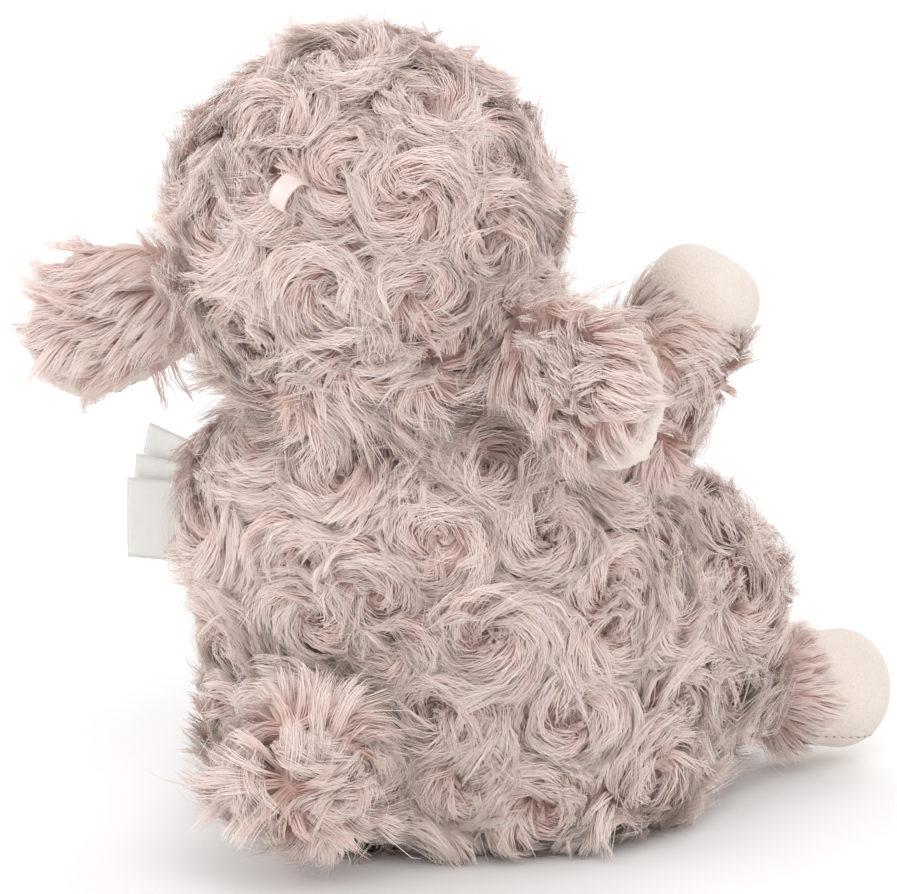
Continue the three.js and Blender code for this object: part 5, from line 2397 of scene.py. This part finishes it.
@dataclass
class RibbonLoop:
    """The hang loop: a folded satin ribbon on the back of the head."""

    head: Head
    up: float = 24.0
    aside: float = 5.0
    turn: float = 65.0
    width: float = 4.9
    height: float = 8.4
    half_span: float = 4.2
    thickness: float = 0.42
    sunk: float = 1.6
    foot: float = 0.3
    bow: float = 0.25
    narrowed: float = 0.98
    columns: int = 7
    leg_rows: int = 6
    arch_rows: int = 17

    def make(self, work: Workshop) -> None:
        """Builds the loop.

        Args:
            work: The workshop.
        """
        radii = np.array(self.head.radii)
        way = toward(180 + self.aside, self.up)
        way = way / np.linalg.norm(way / radii)
        foot = self.head.centre + way
        out = unit(way / radii ** 2)
        rise = self.height - self.half_span
        steps = range(self.leg_rows)
        path = [(-self.half_span, self.foot + rise * i / self.leg_rows) for i in steps]
        for turn in np.radians(np.linspace(180, 0, self.arch_rows)):
            path.append((self.half_span * math.cos(turn), rise + self.half_span * math.sin(turn)))
        path += [(self.half_span, rise - (rise - self.foot) * (i + 1) / self.leg_rows) for i in steps]
        twist = Quaternion((0, 1, 0), math.radians(self.turn))
        stand = Vector((0, 1, 0)).rotation_difference(Vector(out)) @ twist
        side = np.array(stand @ Vector((1, 0, 0)))
        along = np.array(stand @ Vector((0, 0, 1)))
        points = []
        for number, (x, y) in enumerate(path):
            arch = math.sin(math.pi * number / (len(path) - 1))
            for column in range(self.columns):
                share = column / (self.columns - 1) - 0.5
                bow = self.bow * math.cos(math.pi * share) * arch
                high = out * (y - self.sunk + bow)
                points.append(foot + side * (x * self.narrowed) + high + along * share * self.width)
        piece = strip(points, self.columns, self.thickness, "hang_loop_ribbon")
        work.place(piece, "head", Slot.RIBBON, work.palette.ribbon)
        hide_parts("hang_loop")


@dataclass
class CareLabels:
    """Three bare woven leaves sewn in the left side seam."""

    length: float = 18.0
    height: float = 20.0
    thickness: float = 0.4
    pitch: float = 1.1
    fan: float = 5.0
    curl: float = 0.9
    bow: float = 0.35
    columns: int = 15
    rows: int = 15
    leaves: tuple[tuple[str, float, float, float], ...] = (
        ("front", 1.0, -4.0, 0.0), ("middle", 0.0, 0.0, 4.0), ("rear", -1.0, 5.0, 12.0))

    def make(self, work: Workshop) -> None:
        """Builds the leaves.

        Args:
            work: The workshop.
        """
        for name, order, lift, tilt in self.leaves:
            self._leaf(work, name, order, lift, tilt)

    def _leaf(self, work: Workshop, name: str, order: float, lift: float, tilt: float) -> None:
        """Builds one leaf with a slight curl.

        Args:
            work: The workshop.
            name: Which leaf.
            order: Its place in the fan, from 1, nearest to the goat's back, to -1.
            lift: How far above the middle leaf it is sewn.
            tilt: How far it tips up, in degrees.
        """
        points = []
        for row, column in product(range(self.rows), range(self.columns)):
            x = column / (self.columns - 1)
            z = row / (self.rows - 1) - 0.5
            curl = self.curl * order * x ** 2 + self.bow * math.sin(math.pi * (z + 0.5)) * x
            points.append((x * self.length, curl, z * self.height))
        local = np.array(points)
        tip = math.radians(-tilt)
        spin = math.radians(order * self.fan)
        x = local[:, 0] * math.cos(tip) + local[:, 2] * math.sin(tip)
        z = -local[:, 0] * math.sin(tip) + local[:, 2] * math.cos(tip)
        turned = np.stack([
            x * math.cos(spin) - local[:, 1] * math.sin(spin),
            x * math.sin(spin) + local[:, 1] * math.cos(spin), z], axis=1)
        placed = turned + joint_place("label_flap") + np.array([0.0, order * self.pitch, lift])
        piece = strip(placed, self.columns, self.thickness, f"care_label_{name}_leaf")
        work.place(piece, "labels", Slot.LABEL, work.palette.label)
        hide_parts(f"care_label_{name}")


def limbs() -> list[Limb]:
    """The two arms and two legs.

    Returns:
        The limbs.
    """
    made = []
    for side in Side:
        made.append(Limb(
            LimbKind.ARM, side, outward=38.0, raised=57.0, root=16.0, wrist=15.4, sleeve=37.0, hoof=14.0,
            length=52.0))
        made.append(Limb(
            LimbKind.LEG, side, outward=30.0, raised=-8.0, root=15.6, wrist=15.2, sleeve=3.0, hoof=14.8,
            length=25.0, sole=10.0, pile_length=0.008, cuff=0.6, covered=11.0))
    return made


def main() -> None:
    """Builds the scene and every piece in order."""
    logging.basicConfig(level=logging.INFO, format="%(name)s: %(message)s")
    camera = PhotoCamera()
    camera.make()
    Studio().make()
    work = Workshop(Palette(), camera, PileTree(), StitchTree())
    head = Head()
    tail = Tail()
    parts = limbs()
    seats = [(head.centre, NECK_SEAT), (tail.hinge, tail.root + SEAT_GAP)]
    seats += [(limb.joint, limb.root + SEAT_GAP) for limb in parts]
    Torso().make(work, seats)
    head.make(work)
    tail.make(work)
    for limb in parts:
        limb.make(work)
    Ear(Side.LEFT, trim=0.9).make(work)
    Ear(Side.RIGHT).make(work)
    RibbonLoop(head).make(work)
    CareLabels().make(work)
    LOG.info("%d pieces made", len(work.made))


if __name__ == "__main__":
    main()
